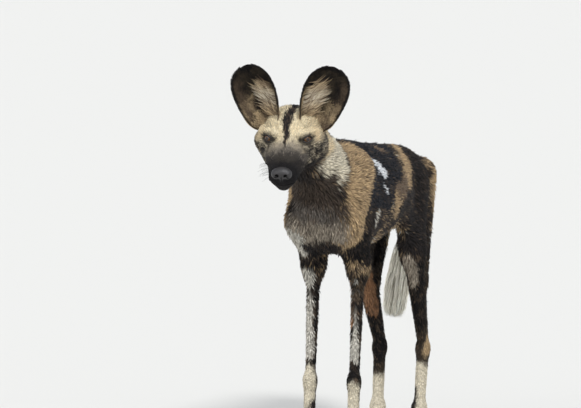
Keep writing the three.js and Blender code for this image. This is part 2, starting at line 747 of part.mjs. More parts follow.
// The nose leather on the front of the muzzle, with a nostril to each side.
const noseForm = [
  blob([0, -104, -36], [19, 12, 12], 0),
  ...pair((s) => blob([11 * s, -105, -40], [11, 11, 10], 6)),
  blob([0, -106, -50], [6, 7, 10], 5),
];
function noseLeather() {
  const form = (p) => joined(noseForm, p);
  const whole = surfaceMesh(form, [-32, -130, -70], [32, -84, -16], CELLS.nose);
  const nostrils = pair((s) => {
    const geometry = new THREE.SphereGeometry(1, 8, 6);
    geometry.scale(4.2, 7, 3.2);
    geometry.rotateY(0.5 * s);
    geometry.translate(11.5 * s, -116, -40);
    return solidOf(geometry);
  });
  return { whole, pierced: nostrils.reduce((solid, hole) => solid.subtract(hole), whole) };
}

// The line of the mouth: a thin band round the muzzle, from corner to corner.
const MOUTH = { front: -63, back: -53, corner: 6, height: 1.6 };
function mouthLine() {
  const shape = new THREE.Shape();
  shape.moveTo(-60, MOUTH.corner);
  shape.lineTo(60, MOUTH.corner);
  shape.lineTo(60, -140);
  shape.lineTo(-60, -140);
  const core = new THREE.Path();
  core.moveTo(-31, MOUTH.corner - 1);
  core.bezierCurveTo(-26, -60, -24, -98, 0, -102);
  core.bezierCurveTo(24, -98, 26, -60, 31, MOUTH.corner - 1);
  shape.holes.push(core);
  const geometry = new THREE.ExtrudeGeometry(shape, {
    depth: MOUTH.height,
    bevelEnabled: false,
    curveSegments: 5,
  });
  geometry.rotateX(Math.atan2(MOUTH.back - MOUTH.front, 100));
  geometry.translate(0, 0, MOUTH.back);
  return solidOf(geometry);
}

const EAR_CLEAR = 0.5;
// An ear: a broad cupped leaf with a round tip, open to the front, its root inside the head.
const EAR = {
  root: [44, 60, 9],
  tip: [94, 66, 139],
  outward: radians(11),
  rows: 8,
  columns: 8,
  thickness: 4.2,
  widest: 0.45,
  half: [50, 60],
  curl: [1.5, 1.05, 0.6],
  lobe: 0.16,
  lobeReach: 0.26,
};
function earSection(s) {
  const rise = clamp(s / EAR.widest, 0, 1);
  const fall = clamp((s - EAR.widest) / (1 - EAR.widest), 0, 1);
  const lobe = clamp((EAR.lobe - s) / EAR.lobeReach, 0, 1);
  const broad = mix(EAR.half[0], EAR.half[1], Math.sin((rise * Math.PI) / 2));
  const half = broad * Math.sqrt((1 - fall ** 2.6) * (1 - lobe ** 2));
  const curl = mix(mix(EAR.curl[0], EAR.curl[1], rise), EAR.curl[2], fall);
  return { half: Math.max(half, 1.5), curl };
}
// The ear's own directions: up its length, out of its mouth, and across towards the midline.
function earFrame(side) {
  const axis = unit(sub(mirrored(EAR.tip, side), mirrored(EAR.root, side)));
  const facing = [Math.sin(EAR.outward) * side, -Math.cos(EAR.outward), 0];
  const front = unit(sub(facing, scaled(axis, dot(facing, axis))));
  return { axis, front, across: scaled(cross(front, axis), side) };
}
// A point on the ear's hollow face, lifted off it: s runs up the ear and q from edge to edge,
// 1 at the edge next to the midline.
function insideEar(side, s, q, lift) {
  const { axis, front, across } = earFrame(side);
  const { half, curl } = earSection(s);
  const radius = half / curl;
  const r = radius - EAR.thickness * mix(1, 0.55, s) - lift;
  const base = add(mirrored(EAR.root, side), scaled(axis, s * EAR_LENGTH));
  const middle = add(base, scaled(front, -9 * Math.sin(Math.PI * s)));
  const sideways = scaled(across, r * Math.sin(curl * q));
  return add(middle, add(sideways, scaled(front, radius - r * Math.cos(curl * q))));
}
// Long pale hair that starts inside the edge next to the midline and lies across the hollow.
const EAR_HAIR = { locks: 7, low: 0.2, high: 0.62, width: 11, thickness: 2.8 };
function earHair(side) {
  return Array.from({ length: EAR_HAIR.locks }, (_, n) => {
    const s = mix(EAR_HAIR.low, EAR_HAIR.high, n / (EAR_HAIR.locks - 1)) + draw(-0.02, 0.02);
    const root = 0.74 + draw(-0.08, 0.06);
    const sweep = draw(0.7, 1);
    const spine = [
      insideEar(side, s, root, -1.5),
      insideEar(side, s + 0.05, root - 0.28 * sweep, 4.5),
      insideEar(side, s + 0.12, root - 0.62 * sweep, 5.5),
      insideEar(side, s + 0.2, root - 0.92 * sweep, 3.5),
    ];
    return lock(spine, earFrame(side).front, EAR_HAIR.width * draw(0.8, 1.15), EAR_HAIR.thickness);
  });
}
function ear(side) {
  const { axis, front, across } = earFrame(side);
  const shell = (inner) => {
    const grid = [];
    for (let i = 0; i <= EAR.rows; i += 1) {
      const s = Math.sin((Math.PI / 2) * (i / EAR.rows));
      const { half, curl } = earSection(s);
      const radius = half / curl;
      const thick = inner ? EAR.thickness * mix(1, 0.55, s) : 0;
      const bow = -9 * Math.sin(Math.PI * s);
      const base = add(mirrored(EAR.root, side), scaled(axis, s * EAR_LENGTH));
      const middle = add(base, scaled(front, bow));
      const row = [];
      for (let j = 0; j <= EAR.columns; j += 1) {
        const angle = curl * ((2 * j) / EAR.columns - 1);
        const r = Math.max(radius - thick, 0.4);
        const sideways = scaled(across, r * Math.sin(angle));
        row.push(add(middle, add(sideways, scaled(front, radius - r * Math.cos(angle)))));
      }
      grid.push(row);
    }
    return grid;
  };
  const outer = shell(false);
  const inner = shell(true);
  const columns = EAR.columns + 1;
  const id = (sheet, i, j) => (sheet * (EAR.rows + 1) + i) * columns + j;
  const points = [...outer.flat(), ...inner.flat()];
  const faces = [];
  const quad = (a, b, c, d) => faces.push([a, b, c], [a, c, d]);
  for (let i = 0; i < EAR.rows; i += 1) {
    for (let j = 0; j < EAR.columns; j += 1) {
      quad(id(0, i, j), id(0, i, j + 1), id(0, i + 1, j + 1), id(0, i + 1, j));
      quad(id(1, i, j), id(1, i + 1, j), id(1, i + 1, j + 1), id(1, i, j + 1));
    }
    quad(id(0, i, 0), id(0, i + 1, 0), id(1, i + 1, 0), id(1, i, 0));
    quad(id(0, i, columns - 1), id(1, i, columns - 1), id(1, i + 1, columns - 1), id(0, i + 1, columns - 1));
  }
  for (let j = 0; j < EAR.columns; j += 1) {
    quad(id(0, 0, j), id(1, 0, j), id(1, 0, j + 1), id(0, 0, j + 1));
    quad(id(0, EAR.rows, j), id(0, EAR.rows, j + 1), id(1, EAR.rows, j + 1), id(1, EAR.rows, j));
  }
  return outwardSolid(points, faces);
}

function head() {
  const localPlane = ([point, normal]) => [toHead(point), toHead(add(EYES, normal))];
  const nape = localPlane(PLANES.nape);
  const bridge = [[0, MUZZLE_CUT, 0], [0, -1, 0]];
  const skull = cutFlesh(headField, [-110, -45, -130], [110, 150, 90], CELLS.head, [
    nape,
    opposite(bridge),
  ]);
  const snout = cutFlesh(headField, [-70, -150, -110], [70, 15, 30], CELLS.muzzle, [bridge]);
  let face = skull;
  for (const [name, side] of Object.entries(SIDES)) {
    const seat = eyeSeat(side);
    const lids = ball(seat.centre, EYE_RADIUS + LID);
    face = face.add(lids.intersect(halfSpace([0, MUZZLE_CUT, 0], [0, 1, 0])));
    face = face.subtract(ball(seat.centre, EYE_RADIUS + GAP));
    face = face.subtract(lidOpening(seat, side));
    node(`eye_${name}`, ball(seat.centre, EYE_RADIUS), LOOKS.eye, "head");
    const haired = earHair(side).reduce((solid, piece) => solid.add(piece), ear(side));
    node(`ear_${name}`, largest(haired.subtract(grown(skull, EAR_CLEAR))), LOOKS.ear, "head");
  }
  node("head", largest(face), LOOKS.coat, "head");
  const nose = noseLeather();
  const muzzle = snout.subtract(mouthLine()).subtract(grown(nose.whole, GAP));
  node("muzzle", largest(muzzle), LOOKS.coat, "head");
  node("nose", largest(nose.pierced), LOOKS.nose, "head");
}

const trunkSolid = torso();
node("torso", trunkSolid, LOOKS.coat);
node("neck", neck(), LOOKS.coat);
legs();
const thighs = nodes.filter(({ name }) => name.startsWith("thigh_")).map(({ solid }) => solid);
const tailPieces = tail([trunkSolid, ...thighs]);
node("tail", tailPieces.upper, LOOKS.coat);
node("tail_brush", tailPieces.brush, LOOKS.coat);
head();

// The scene graph: the head's pieces hang in a group that is turned and placed with the head.
const dog = new THREE.Group();
const headGroup = new THREE.Group();
const turned = new THREE.Matrix4().makeBasis(
  new THREE.Vector3(...HEAD.u),
  new THREE.Vector3(...HEAD.v),
  new THREE.Vector3(...HEAD.w),
);
headGroup.quaternion.setFromRotationMatrix(turned);
headGroup.position.set(...EYES);
dog.add(headGroup);
for (const { name, solid, look, group } of nodes) {
  const mesh = new THREE.Mesh(geometryOf(solid), new THREE.MeshStandardMaterial(look));
  mesh.name = name;
  (group === "head" ? headGroup : dog).add(mesh);
}

// The origin goes to the middle of the box that the animal fills, on the floor.
const box = new THREE.Box3().setFromObject(dog, true);
const centre = box.getCenter(new THREE.Vector3());
const placed = new THREE.Group();
dog.position.set(-centre.x, -centre.y, 0);
placed.add(dog);

export default placed;
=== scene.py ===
import math

import bpy
import numpy as np
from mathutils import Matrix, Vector


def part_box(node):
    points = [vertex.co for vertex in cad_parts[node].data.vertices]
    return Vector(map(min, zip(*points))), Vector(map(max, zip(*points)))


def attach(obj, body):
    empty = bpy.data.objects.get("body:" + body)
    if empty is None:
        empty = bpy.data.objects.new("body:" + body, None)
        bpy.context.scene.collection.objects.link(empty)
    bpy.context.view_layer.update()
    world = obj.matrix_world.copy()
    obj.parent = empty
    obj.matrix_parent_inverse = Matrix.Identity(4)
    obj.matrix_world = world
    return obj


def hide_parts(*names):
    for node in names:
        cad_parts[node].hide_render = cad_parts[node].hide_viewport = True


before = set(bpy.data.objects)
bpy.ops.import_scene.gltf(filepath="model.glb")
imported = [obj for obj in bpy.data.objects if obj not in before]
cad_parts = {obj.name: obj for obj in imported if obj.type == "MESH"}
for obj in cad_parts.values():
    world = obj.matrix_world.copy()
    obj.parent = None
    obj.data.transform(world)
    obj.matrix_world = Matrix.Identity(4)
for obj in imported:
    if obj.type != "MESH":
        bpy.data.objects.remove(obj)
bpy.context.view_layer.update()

# An adult African wild dog, standing square and looking ahead. Lengths are in millimetres, in the
# part's own axes (it faces -Y, its left side is +X, up is +Z), until a mesh is made in metres.
MM = 1000.0
rng = np.random.default_rng(11)

# Where the part's own origin lies in the frame.
HALF_GAP = 0.15
CLAW_ROOT_Y = -303.0
ORIGIN = np.array([
    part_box("thigh_left")[0].x * MM - HALF_GAP,
    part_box("claw_fore_left_2")[1].y * MM - CLAW_ROOT_Y,
    0.0,
])

# Driving dimensions, as in the solids.
WITHERS = 692.0
CROUP = 661.0
BRISKET = 446.0
CHEST_HALF = 90.0
FORE_Y = -250.0
LEG_X = 50.0
HOCK_Y = {"left": 266.0, "right": 272.0}
HOCK_Z = 190.0
EYES = np.array([-13.0, -522.0, 722.0])
HEAD_YAW = math.radians(10)
HEAD_PITCH = math.radians(18)
HEAD_ROLL = math.radians(1)
EYE_RADIUS = 11.5
EAR_LENGTH = 139.0
SIDES = {"left": 1.0, "right": -1.0}


def unit(v):
    return v / np.maximum(np.linalg.norm(v, axis=-1, keepdims=True), 1e-9)


def mix(a, b, t):
    return a + (b - a) * t


def ramp(low, high, x):
    """0 below low and 1 above high, smooth between them; low may be the larger."""
    t = np.clip((x - low) / (high - low), 0.0, 1.0)
    return t * t * (3.0 - 2.0 * t)


# Odd numbers that scatter the cells of the noise.
SCATTER = (73856093, 19349663, 83492791)
STIR = (2654435761, 2246822519)
SALT_STEP = 9176
SALT_SHIFT = 7.31
WORD = 0xFFFFFFFF


def noise(p, size, salt):
    """Smooth noise from -1 to 1, with lumps of the given size."""
    q = p / size + salt * SALT_SHIFT
    cell = np.floor(q).astype(np.int64)
    f = q - cell
    f = f * f * (3.0 - 2.0 * f)
    total = np.zeros(len(p))
    for corner in range(8):
        bit = np.array([corner & 1, (corner >> 1) & 1, (corner >> 2) & 1])
        x, y, z = ((cell + bit) * SCATTER).T
        h = x ^ y ^ z ^ (salt * SALT_STEP)
        h = ((h & WORD) * STIR[0]) & WORD
        h = ((h ^ (h >> 15)) * STIR[1]) & WORD
        weight = np.prod(np.where(bit, f, 1.0 - f), axis=1)
        total += weight * (h / (WORD + 1.0))
    return total * 2.0 - 1.0


def waves(p, size, height, salts):
    """A shift for each point, one noise to each axis."""
    return np.stack([noise(p, size, k) * height for k in salts], axis=1)


# The head's own axes: u to its left, v backwards, w up, from the point midway between the eyes.
def head_axes():
    level = np.array([-math.sin(HEAD_YAW), math.cos(HEAD_YAW), 0.0])
    side = np.array([math.cos(HEAD_YAW), math.sin(HEAD_YAW), 0.0])
    up = np.array([0.0, 0.0, 1.0])
    back = level * math.cos(HEAD_PITCH) + up * math.sin(HEAD_PITCH)
    crown = up * math.cos(HEAD_PITCH) - level * math.sin(HEAD_PITCH)
    u = side * math.cos(HEAD_ROLL) - crown * math.sin(HEAD_ROLL)
    w = crown * math.cos(HEAD_ROLL) + side * math.sin(HEAD_ROLL)
    return np.stack([u, back, w])


HEAD = head_axes()


def to_head(p):
    return (p - EYES) @ HEAD.T


def from_head(p):
    return EYES + np.asarray(p, float) @ HEAD


# Forms of the flesh: each is a blend width and a distance.
def bar(a, b, ra, rb, blend, wide=1.0):
    stretch = np.array([wide, 1.0, 1.0])
    start = np.array(a, float) / stretch
    axis = np.array(b, float) / stretch - start
    span = axis @ axis

    def distance(p):
        q = p / stretch - start
        t = np.clip(q @ axis / span, 0.0, 1.0)
        gap = np.sqrt(np.sum((q - t[:, None] * axis) ** 2, axis=1))
        return (gap - mix(ra, rb, t)) * min(1.0, wide)

    return blend, distance


def blob(centre, radii, blend):
    middle = np.array(centre, float)
    size = np.array(radii, float)

    def distance(p):
        q = p - middle
        near = np.sqrt(np.sum((q / size) ** 2, axis=1))
        slope = np.sqrt(np.sum((q / size ** 2) ** 2, axis=1))
        return near * (near - 1.0) / np.maximum(slope, 1e-6)

    return blend, distance


def along(stations, column, y):
    """A value along a row of stations, smooth through each of them."""
    at = stations[:, 0]
    value = stations[:, column]
    slope = np.empty(len(at))
    slope[1:-1] = (value[2:] - value[:-2]) / (at[2:] - at[:-2])
    slope[0] = (value[1] - value[0]) / (at[1] - at[0])
    slope[-1] = (value[-1] - value[-2]) / (at[-1] - at[-2])
    i = np.clip(np.searchsorted(at, y, side="right") - 1, 0, len(at) - 2)
    step = at[i + 1] - at[i]
    t = np.clip((y - at[i]) / step, 0.0, 1.0)
    p, q = value[i], value[i + 1]
    m, n = slope[i] * step, slope[i + 1] * step
    return p + m * t + (3 * (q - p) - 2 * m - n) * t ** 2 + (2 * (p - q) + m + n) * t ** 3


# The trunk as upright ovals along y: y, back line, under line, half width.
TRUNK = np.array([
    [-335, 600, 512, 48],
    [-290, 660, 472, 70],
    [-220, WITHERS, BRISKET, CHEST_HALF - 5],
    [-120, WITHERS - 6, BRISKET - 2, CHEST_HALF],
    [0, WITHERS - 15, BRISKET + 8, CHEST_HALF],
    [100, CROUP + 6, BRISKET + 32, 79],
    [180, CROUP, BRISKET + 60, 65],
    [260, CROUP - 14, BRISKET + 84, 54],
    [335, CROUP - 64, BRISKET + 122, 32],
], float)


def trunk(p):
    top = along(TRUNK, 1, p[:, 1])
    low = along(TRUNK, 2, p[:, 1])
    half = along(TRUNK, 3, p[:, 1])
    tall = (top - low) / 2
    q = np.hypot(p[:, 0] / half, (p[:, 2] - (top + low) / 2) / tall)
    ends = np.maximum(TRUNK[0, 0] - p[:, 1], p[:, 1] - TRUNK[-1, 0])
    return np.maximum((q - 1.0) * np.minimum(half, tall), ends)


# Where the parts of a foreleg and a hind leg lie, for the left side.
FORELEG = {
    "blade": [44, -226, 632],
    "point": [46, -316, 524],
    "triceps": [50, -196, 552],
    "elbow": [51, -222, 424],
    "wrist": [LEG_X, FORE_Y, 172],
    "pastern": [LEG_X, FORE_Y - 10, 58],
    "paw": [LEG_X, FORE_Y - 22, 0],
}


def hind_leg(name):
    hock = HOCK_Y[name]
    return {
        "hip": [42, 206, 554],
        "seat": [40, 296, 582],
        "flank": [56, 84, 520],
        "knee": [63, 146, 430],
        "calf": [56, 226, 350],
        "hock": [52, hock, HOCK_Z],
        "heel": [52, hock + 16, HOCK_Z + 22],
        "pastern": [LEG_X, hock - 22, 56],
        "paw": [LEG_X, hock - 42, 0],
    }


def on_side(joints, side):
    return {name: np.array(p, float) * [side, 1, 1] for name, p in joints.items()}


TOES = [(24, -14, 10.6), (8.6, -27, 11.6), (-8.6, -27, 11.6), (-24, -14, 10.6)]
TOE_Z = 9.0


def paw_form(pastern, paw):
    pads = [
        bar(paw + [x * 0.62, 12, 28], paw + [x, y, TOE_Z], 12.5, radius, 5) for x, y, radius in TOES
    ]
    return [
        bar(pastern, paw + [0, 10, 26], 17.5, 19, 14),
        bar(paw + [0, 16, 12], paw + [0, -4, 12], 16, 15, 8, 1.35),
        *pads,
    ]


def foreleg_form(side):
    at = on_side(FORELEG, side)
    return [
        bar(at["blade"], at["point"], 40, 38, 34),
        bar(at["point"], at["elbow"], 38, 28, 26, 0.84),
        bar(at["triceps"], at["elbow"], 34, 26, 30, 0.72),
        bar(at["elbow"], at["wrist"], 27, 17.5, 22, 0.62),
        blob(at["wrist"] + [0, -2, 2], [14, 17, 21], 10),
        bar(at["wrist"], at["pastern"], 16, 15, 10, 0.86),
        *paw_form(at["pastern"], at["paw"]),
    ]


def hind_leg_form(name):
    at = on_side(hind_leg(name), SIDES[name])
    return [
        bar(at["hip"], at["knee"], 65, 42, 30, 0.6),
        bar(at["flank"], at["knee"], 30, 28, 30, 0.6),
        bar(at["seat"], at["calf"], 42, 24, 26, 0.84),
        bar(at["knee"], at["hock"], 37, 16, 22, 0.66),
        bar(at["calf"], at["heel"], 20, 11, 14, 0.72),
        blob(at["hock"], [16, 21, 22], 10),
        bar(at["hock"], at["pastern"], 17.5, 15, 10, 0.84),
        *paw_form(at["pastern"], at["paw"]),
    ]


# The tail's flesh: places from root to tip, with its radius and how far its hair reaches.
TAIL = np.array([
    [0, 300, CROUP - 58, 25, 25],
    [-2, 346, CROUP - 96, 23, 24],
    [-8, 364, CROUP - 152, 18, 23],
    [-15, 364, CROUP - 215, 14, 26],
    [-25, 352, CROUP - 285, 13, 31],
    [-31, 338, CROUP - 345, 10, 28],
    [-34, 332, CROUP - 375, 5, 20],
], float)
TAIL_END = CROUP - 412.0

NECK_HEAD = [-5, -436, 706]
NECK_CHEST = [0, -270, 590]
BODY_FORM = [
    (0, trunk),
    bar(NECK_HEAD, NECK_CHEST, 64, 92, 40, 0.82),
    bar([0, -350, 556], [0, -286, 502], 40, 44, 34, 1.2),
    bar([0, -232, WITHERS - 36], [0, -120, WITHERS - 44], 34, 30, 30, 1.1),
    *foreleg_form(1.0),
    *foreleg_form(-1.0),
    *hind_leg_form("left"),
    *hind_leg_form("right"),
    *[bar(a[:3], b[:3], a[3] - 1, b[3] - 1, 12) for a, b in zip(TAIL[:-1], TAIL[1:])],
]


def pair(make):
    return [make(1.0), make(-1.0)]


HEAD_FORM = [
    blob([0, 60, 0], [57, 58, 44], 0),
    bar([0, 16, -22], [0, 66, -2], 33, 44, 20, 1.15),
    blob([0, 88, -18], [54, 40, 50], 26),
    *pair(lambda s: blob([52 * s, 34, -17], [26, 40, 25], 18)),
    *pair(lambda s: bar([45 * s, 54, -40], [33 * s, 2, -47], 29, 21, 16)),
    *pair(lambda s: blob([36 * s, 70, -44], [30, 34, 34], 20)),
    *pair(lambda s: bar([30 * s, 6, 8], [52 * s, 22, 8], 14, 14, 10)),
    *pair(lambda s: bar([43 * s, 8, -22], [25 * s, -44, -32], 17, 15, 14)),
    bar([0, -2, -37], [0, -88, -47], 33, 26, 18, 1.1),
    *pair(lambda s: bar([19 * s, 0, -51], [13 * s, -84, -54], 21, 16, 10)),
    bar([0, 20, -68], [0, -80, -71], 22, 15.5, 10, 1.1),
]
HEAD_BLEND = 26.0


def join(a, b, blend):
    h = np.maximum(blend - np.abs(a - b), 0.0) / max(blend, 1e-6)
    return np.minimum(a, b) - h * h * blend / 4


def joined(forms, p):
    total = np.full(len(p), 1e3)
    for blend, distance in forms:
        total = join(total, distance(p), blend)
    return total


def flesh(p):
    return join(joined(BODY_FORM, p), joined(HEAD_FORM, to_head(p)), HEAD_BLEND)


def gradient(form, p, step=0.4):
    parts = []
    for i in range(3):
        move = np.zeros(3)
        move[i] = step
        parts.append((form(p + move) - form(p - move)) / (2 * step))
    return np.stack(parts, axis=1)


# The eyes look ahead and a little outward. Each is seated by a walk inward to the flesh.
EYE_SPREAD = 40.5
EYE_OUTWARD = math.radians(27)
EYE_UPWARD = 0.05
WALK_START = 60.0
WALK_STEPS = 60
WALK_SHARE = 0.7
EYE_PROUD = 3.6
ALMOND = {"half": 10.6, "up": 7.6, "down": 6.2, "slant": 0.8}


def eye_seat(side):
    gaze = unit(np.array([math.sin(EYE_OUTWARD) * side, -math.cos(EYE_OUTWARD), EYE_UPWARD]))
    start = np.array([EYE_SPREAD * side, 0.0, 0.0]) + gaze * WALK_START
    walked = 0.0
    for _ in range(WALK_STEPS):
        walked += flesh(from_head(start - gaze * walked)[None])[0] * WALK_SHARE
    across = unit(np.cross([0.0, 0.0, 1.0], gaze))
    axes = np.stack([across, np.cross(gaze, across), gaze])
    centre = start - gaze * walked - gaze * (EYE_RADIUS - EYE_PROUD)
    return {"centre": centre, "axes": axes, "side": side}


EYE_SEATS = {name: eye_seat(side) for name, side in SIDES.items()}


def almond(side, count=96):
    """The opening between the lids, its inner corner a little lower."""
    slant = ALMOND["slant"] * side
    half = ALMOND["half"]
    t = np.linspace(0.0, 1.0, count // 2, endpoint=False)
    x = -half * (1 - t) ** 3 - 1.5 * half * t * (1 - t) ** 2
    x = x + 1.5 * half * t ** 2 * (1 - t) + half * t ** 3
    bow = 3 * t * (1 - t) * 1.2
    line = slant * (2 * t ** 2 * (3 - 2 * t) - 1)
    low = np.stack([x, line - bow * ALMOND["down"]], axis=1)
    high = np.stack([-x, -line + bow * ALMOND["up"]], axis=1)
    return np.concatenate([low, high])


def eye_place(p, seat):
    """A point in an eye's own axes, and how far out it lies, 1 being the edge of the lids."""
    q = (to_head(p) - seat["centre"]) @ seat["axes"].T
    edge = almond(seat["side"])
    turn = np.arctan2(edge[:, 1], edge[:, 0])
    order = np.argsort(turn)
    reach = np.interp(
        np.arctan2(q[:, 1], q[:, 0]),
        turn[order],
        np.hypot(edge[:, 0], edge[:, 1])[order],
        period=2 * math.pi,
    )
    return q, np.hypot(q[:, 0], q[:, 1]) / reach


# The line of the mouth: where it runs, and the groove and lip that follow it.
MOUTH = {"height": -53.0, "rise": 0.0995, "corner": 6.0}
GROOVE = {"depth": 2.6, "width": 1.5}
LIP = {"height": 0.9, "above": 4.5, "width": 3.0}


def mouth_gap(h):
    """Distance above the line of the mouth, in the head's axes."""
    return h[:, 2] - (MOUTH["height"] + MOUTH["rise"] * h[:, 1])


def head_part(p, h):
    """1 on the head and 0 behind it."""
    near = ramp(185, 150, np.linalg.norm(p - from_head([0, 20, -20]), axis=1))
    throat = ramp(8, 36, h[:, 1]) * ramp(-56, -76, h[:, 2])
    return near * ramp(118, 78, h[:, 1] + 0.35 * h[:, 2]) * (1 - throat)


# Depths of the coat over the skin: at the paws, trunk, chest, tail, nose and nape.
DEPTH = {"paw": 1.6, "trunk": 7.0, "chest": 2.0, "tail": 4.0, "nose": 1.1, "nape": 5.5}


def coat_depth(p, h):
    body = mix(DEPTH["paw"], DEPTH["trunk"], ramp(40, 480, p[:, 2]))
    body = body + DEPTH["chest"] * ramp(-300, -370, p[:, 1]) * ramp(480, 560, p[:, 2])
    tail = ramp(318, 338, p[:, 1]) * ramp(30, 8, np.abs(p[:, 0] + 8)) * ramp(235, 262, p[:, 2])
    body = mix(body, DEPTH["tail"], tail)
    face = mix(DEPTH["nose"], DEPTH["nape"], ramp(-50, 100, h[:, 1]))
    return mix(body, face, head_part(p, h))


LID = 1.5
LID_BLEND = 5.0
SOLE_GAP = 0.3


def skin(p):
    """Distance to the skin, which lies under the coat."""
    h = to_head(p)
    d = flesh(p) + coat_depth(p, h)
    for seat in EYE_SEATS.values():
        ball = np.linalg.norm(h - seat["centre"], axis=1) - EYE_RADIUS - LID
        d = join(d, ball, LID_BLEND)
    line = mouth_gap(h)
    inside = ramp(MOUTH["corner"], MOUTH["corner"] - 10, h[:, 1]) * ramp(150, 130, np.abs(h[:, 1]))
    groove = GROOVE["depth"] * np.exp(-(line / GROOVE["width"]) ** 2)
    lip = LIP["height"] * np.exp(-((line - LIP["above"]) / LIP["width"]) ** 2)
    return np.maximum(d + inside * (groove - lip), SOLE_GAP - p[:, 2])


# Meshes from fields.
BLOCK = 4
NEAR_BLOCKS = 1.35
LEAST_SLOPE = 0.2


def lattice(form, low, high, cell):
    """Values of a form on a grid, worked out point by point only near its surface."""
    low = np.array(low, float)
    blocks = np.ceil((np.array(high, float) - low) / (cell * BLOCK)).astype(int) + 1
    count = blocks * BLOCK
    centre = np.stack(np.meshgrid(*[np.arange(n) for n in blocks], indexing="ij"), -1)
    middle = low + (centre.reshape(-1, 3) * BLOCK + (BLOCK - 1) / 2) * cell
    rough = form(middle).reshape(blocks)
    for axis in range(3):
        rough = np.repeat(rough, BLOCK, axis=axis)
    values = rough.copy()
    near = np.argwhere(np.abs(rough) < cell * BLOCK * NEAR_BLOCKS)
    values[tuple(near.T)] = form(low + near * cell)
    return values, low, count


def surface(form, low, high, cell):
    """The form's surface as triangles: one corner in each cell that it crosses."""
    values, low, count = lattice(form, low, high, cell)
    inside = values < 0
    corners = [(c & 1, (c >> 1) & 1, (c >> 2) & 1) for c in range(8)]

    def shifted(array, corner):
        return array[tuple(slice(k, n - 1 + k) for k, n in zip(corner, count))]

    filled = sum(shifted(inside, c).astype(np.int8) for c in corners)
    crossed = (filled > 0) & (filled < 8)
    index = np.full(crossed.shape, -1)
    index[crossed] = np.arange(crossed.sum())
    total = np.zeros((crossed.sum(), 3))
    hits = np.zeros(crossed.sum())
    for a, first in enumerate(corners):
        for bit in (1, 2, 4):
            if a & bit:
                continue
            second = corners[a | bit]
            va = shifted(values, first)[crossed]
            vb = shifted(values, second)[crossed]
            cut = (va < 0) != (vb < 0)
            t = va[cut] / (va[cut] - vb[cut])
            start = np.array(first, float)
            total[cut] += start + (np.array(second, float) - start) * t[:, None]
            hits[cut] += 1
    place = np.argwhere(crossed) + total / hits[:, None]
    points = low + place * cell
    quads = []
    for axis in range(3):
        b, c = (axis + 1) % 3, (axis + 2) % 3
        change = inside != np.roll(inside, -1, axis=axis)
        for k in range(3):
            edge = [slice(None)] * 3
            edge[k] = slice(0, 1)
            change[tuple(edge)] = False
            edge[k] = slice(-2, None)
            change[tuple(edge)] = False
        at = np.argwhere(change)
        flip = inside[tuple(at.T)]

        def corner(db, dc):
            move = np.zeros(3, int)
            move[b], move[c] = db, dc
            return index[tuple((at + move).T)]

        ring = np.stack([corner(-1, -1), corner(0, -1), corner(0, 0), corner(-1, 0)], axis=1)
        ring[~flip] = ring[~flip][:, ::-1]
        quads.append(ring)
    quads = np.concatenate(quads)
    one = np.linalg.norm(points[quads[:, 0]] - points[quads[:, 2]], axis=1)
    other = np.linalg.norm(points[quads[:, 1]] - points[quads[:, 3]], axis=1)
    turned = np.where((one <= other)[:, None], quads, np.roll(quads, -1, axis=1))
    return points, np.concatenate([turned[:, [0, 1, 2]], turned[:, [0, 2, 3]]])


def raised(points, form, height, longest):
    """Points moved to a height over the form's surface, by no more than the longest step."""
    slope = gradient(form, points)
    steep = np.maximum(np.sum(slope ** 2, axis=1), LEAST_SLOPE)
    move = slope * ((height - form(points)) / steep)[:, None]
    size = np.linalg.norm(move, axis=1, keepdims=True)
    return points + move * np.minimum(1.0, longest / np.maximum(size, 1e-9))


def drawn(points, form, turns=2, longest=3.0):
    """The points moved onto the form's surface."""
    for _ in range(turns):
        points = raised(points, form, 0.0, longest)
    return points


def relaxed(points, faces, share=0.5):
    """Each point moved towards the middle of its neighbours, so that the triangles are even."""
    ends = np.concatenate([faces[:, [0, 1]], faces[:, [1, 2]], faces[:, [2, 0]]])
    total = np.zeros_like(points)
    hits = np.zeros(len(points))
    np.add.at(total, ends[:, 0], points[ends[:, 1]])
    np.add.at(hits, ends[:, 0], 1)
    return mix(points, total / np.maximum(hits, 1)[:, None], share)


def refined(points, faces, chosen):
    """The chosen triangles cut in four, and their neighbours to match."""
    ends = np.sort(np.stack([faces, np.roll(faces, -1, axis=1)], axis=2), axis=2).reshape(-1, 2)
    edges, back = np.unique(ends, axis=0, return_inverse=True)
    back = back.reshape(-1, 3)
    split = np.zeros(len(edges), bool)
    split[back[chosen]] = True
    number = np.full(len(edges), -1)
    number[split] = len(points) + np.arange(split.sum())
    middles = (points[edges[split, 0]] + points[edges[split, 1]]) / 2
    mids = number[back]
    code = (mids >= 0) @ np.array([1, 2, 4])
    out = [faces[code == 0]]
    for turn in range(3):
        order = [(turn + k) % 3 for k in range(3)]
        single = code == 1 << order[0]
        a, b, c = faces[single][:, order].T
        m = mids[single][:, order[0]]
        out += [np.stack([a, m, c], 1), np.stack([m, b, c], 1)]
        double = code == (1 << order[0] | 1 << order[1])
        a, b, c = faces[double][:, order].T
        m, n = mids[double][:, order[:2]].T
        out += [np.stack([m, b, n], 1), np.stack([a, m, n], 1), np.stack([a, n, c], 1)]
    full = code == 7
    a, b, c = faces[full].T
    k, m, n = mids[full].T
    out += [np.stack(t, 1) for t in ((a, k, n), (k, b, m), (n, m, c), (k, m, n))]
    return np.concatenate([points, middles]), np.concatenate(out)


def corner_normals(points, faces):
    a, b, c = points[faces[:, 0]], points[faces[:, 1]], points[faces[:, 2]]
    flat = np.cross(b - a, c - a)
    total = np.zeros_like(points)
    for k in range(3):
        np.add.at(total, faces[:, k], flat)
    return unit(total)


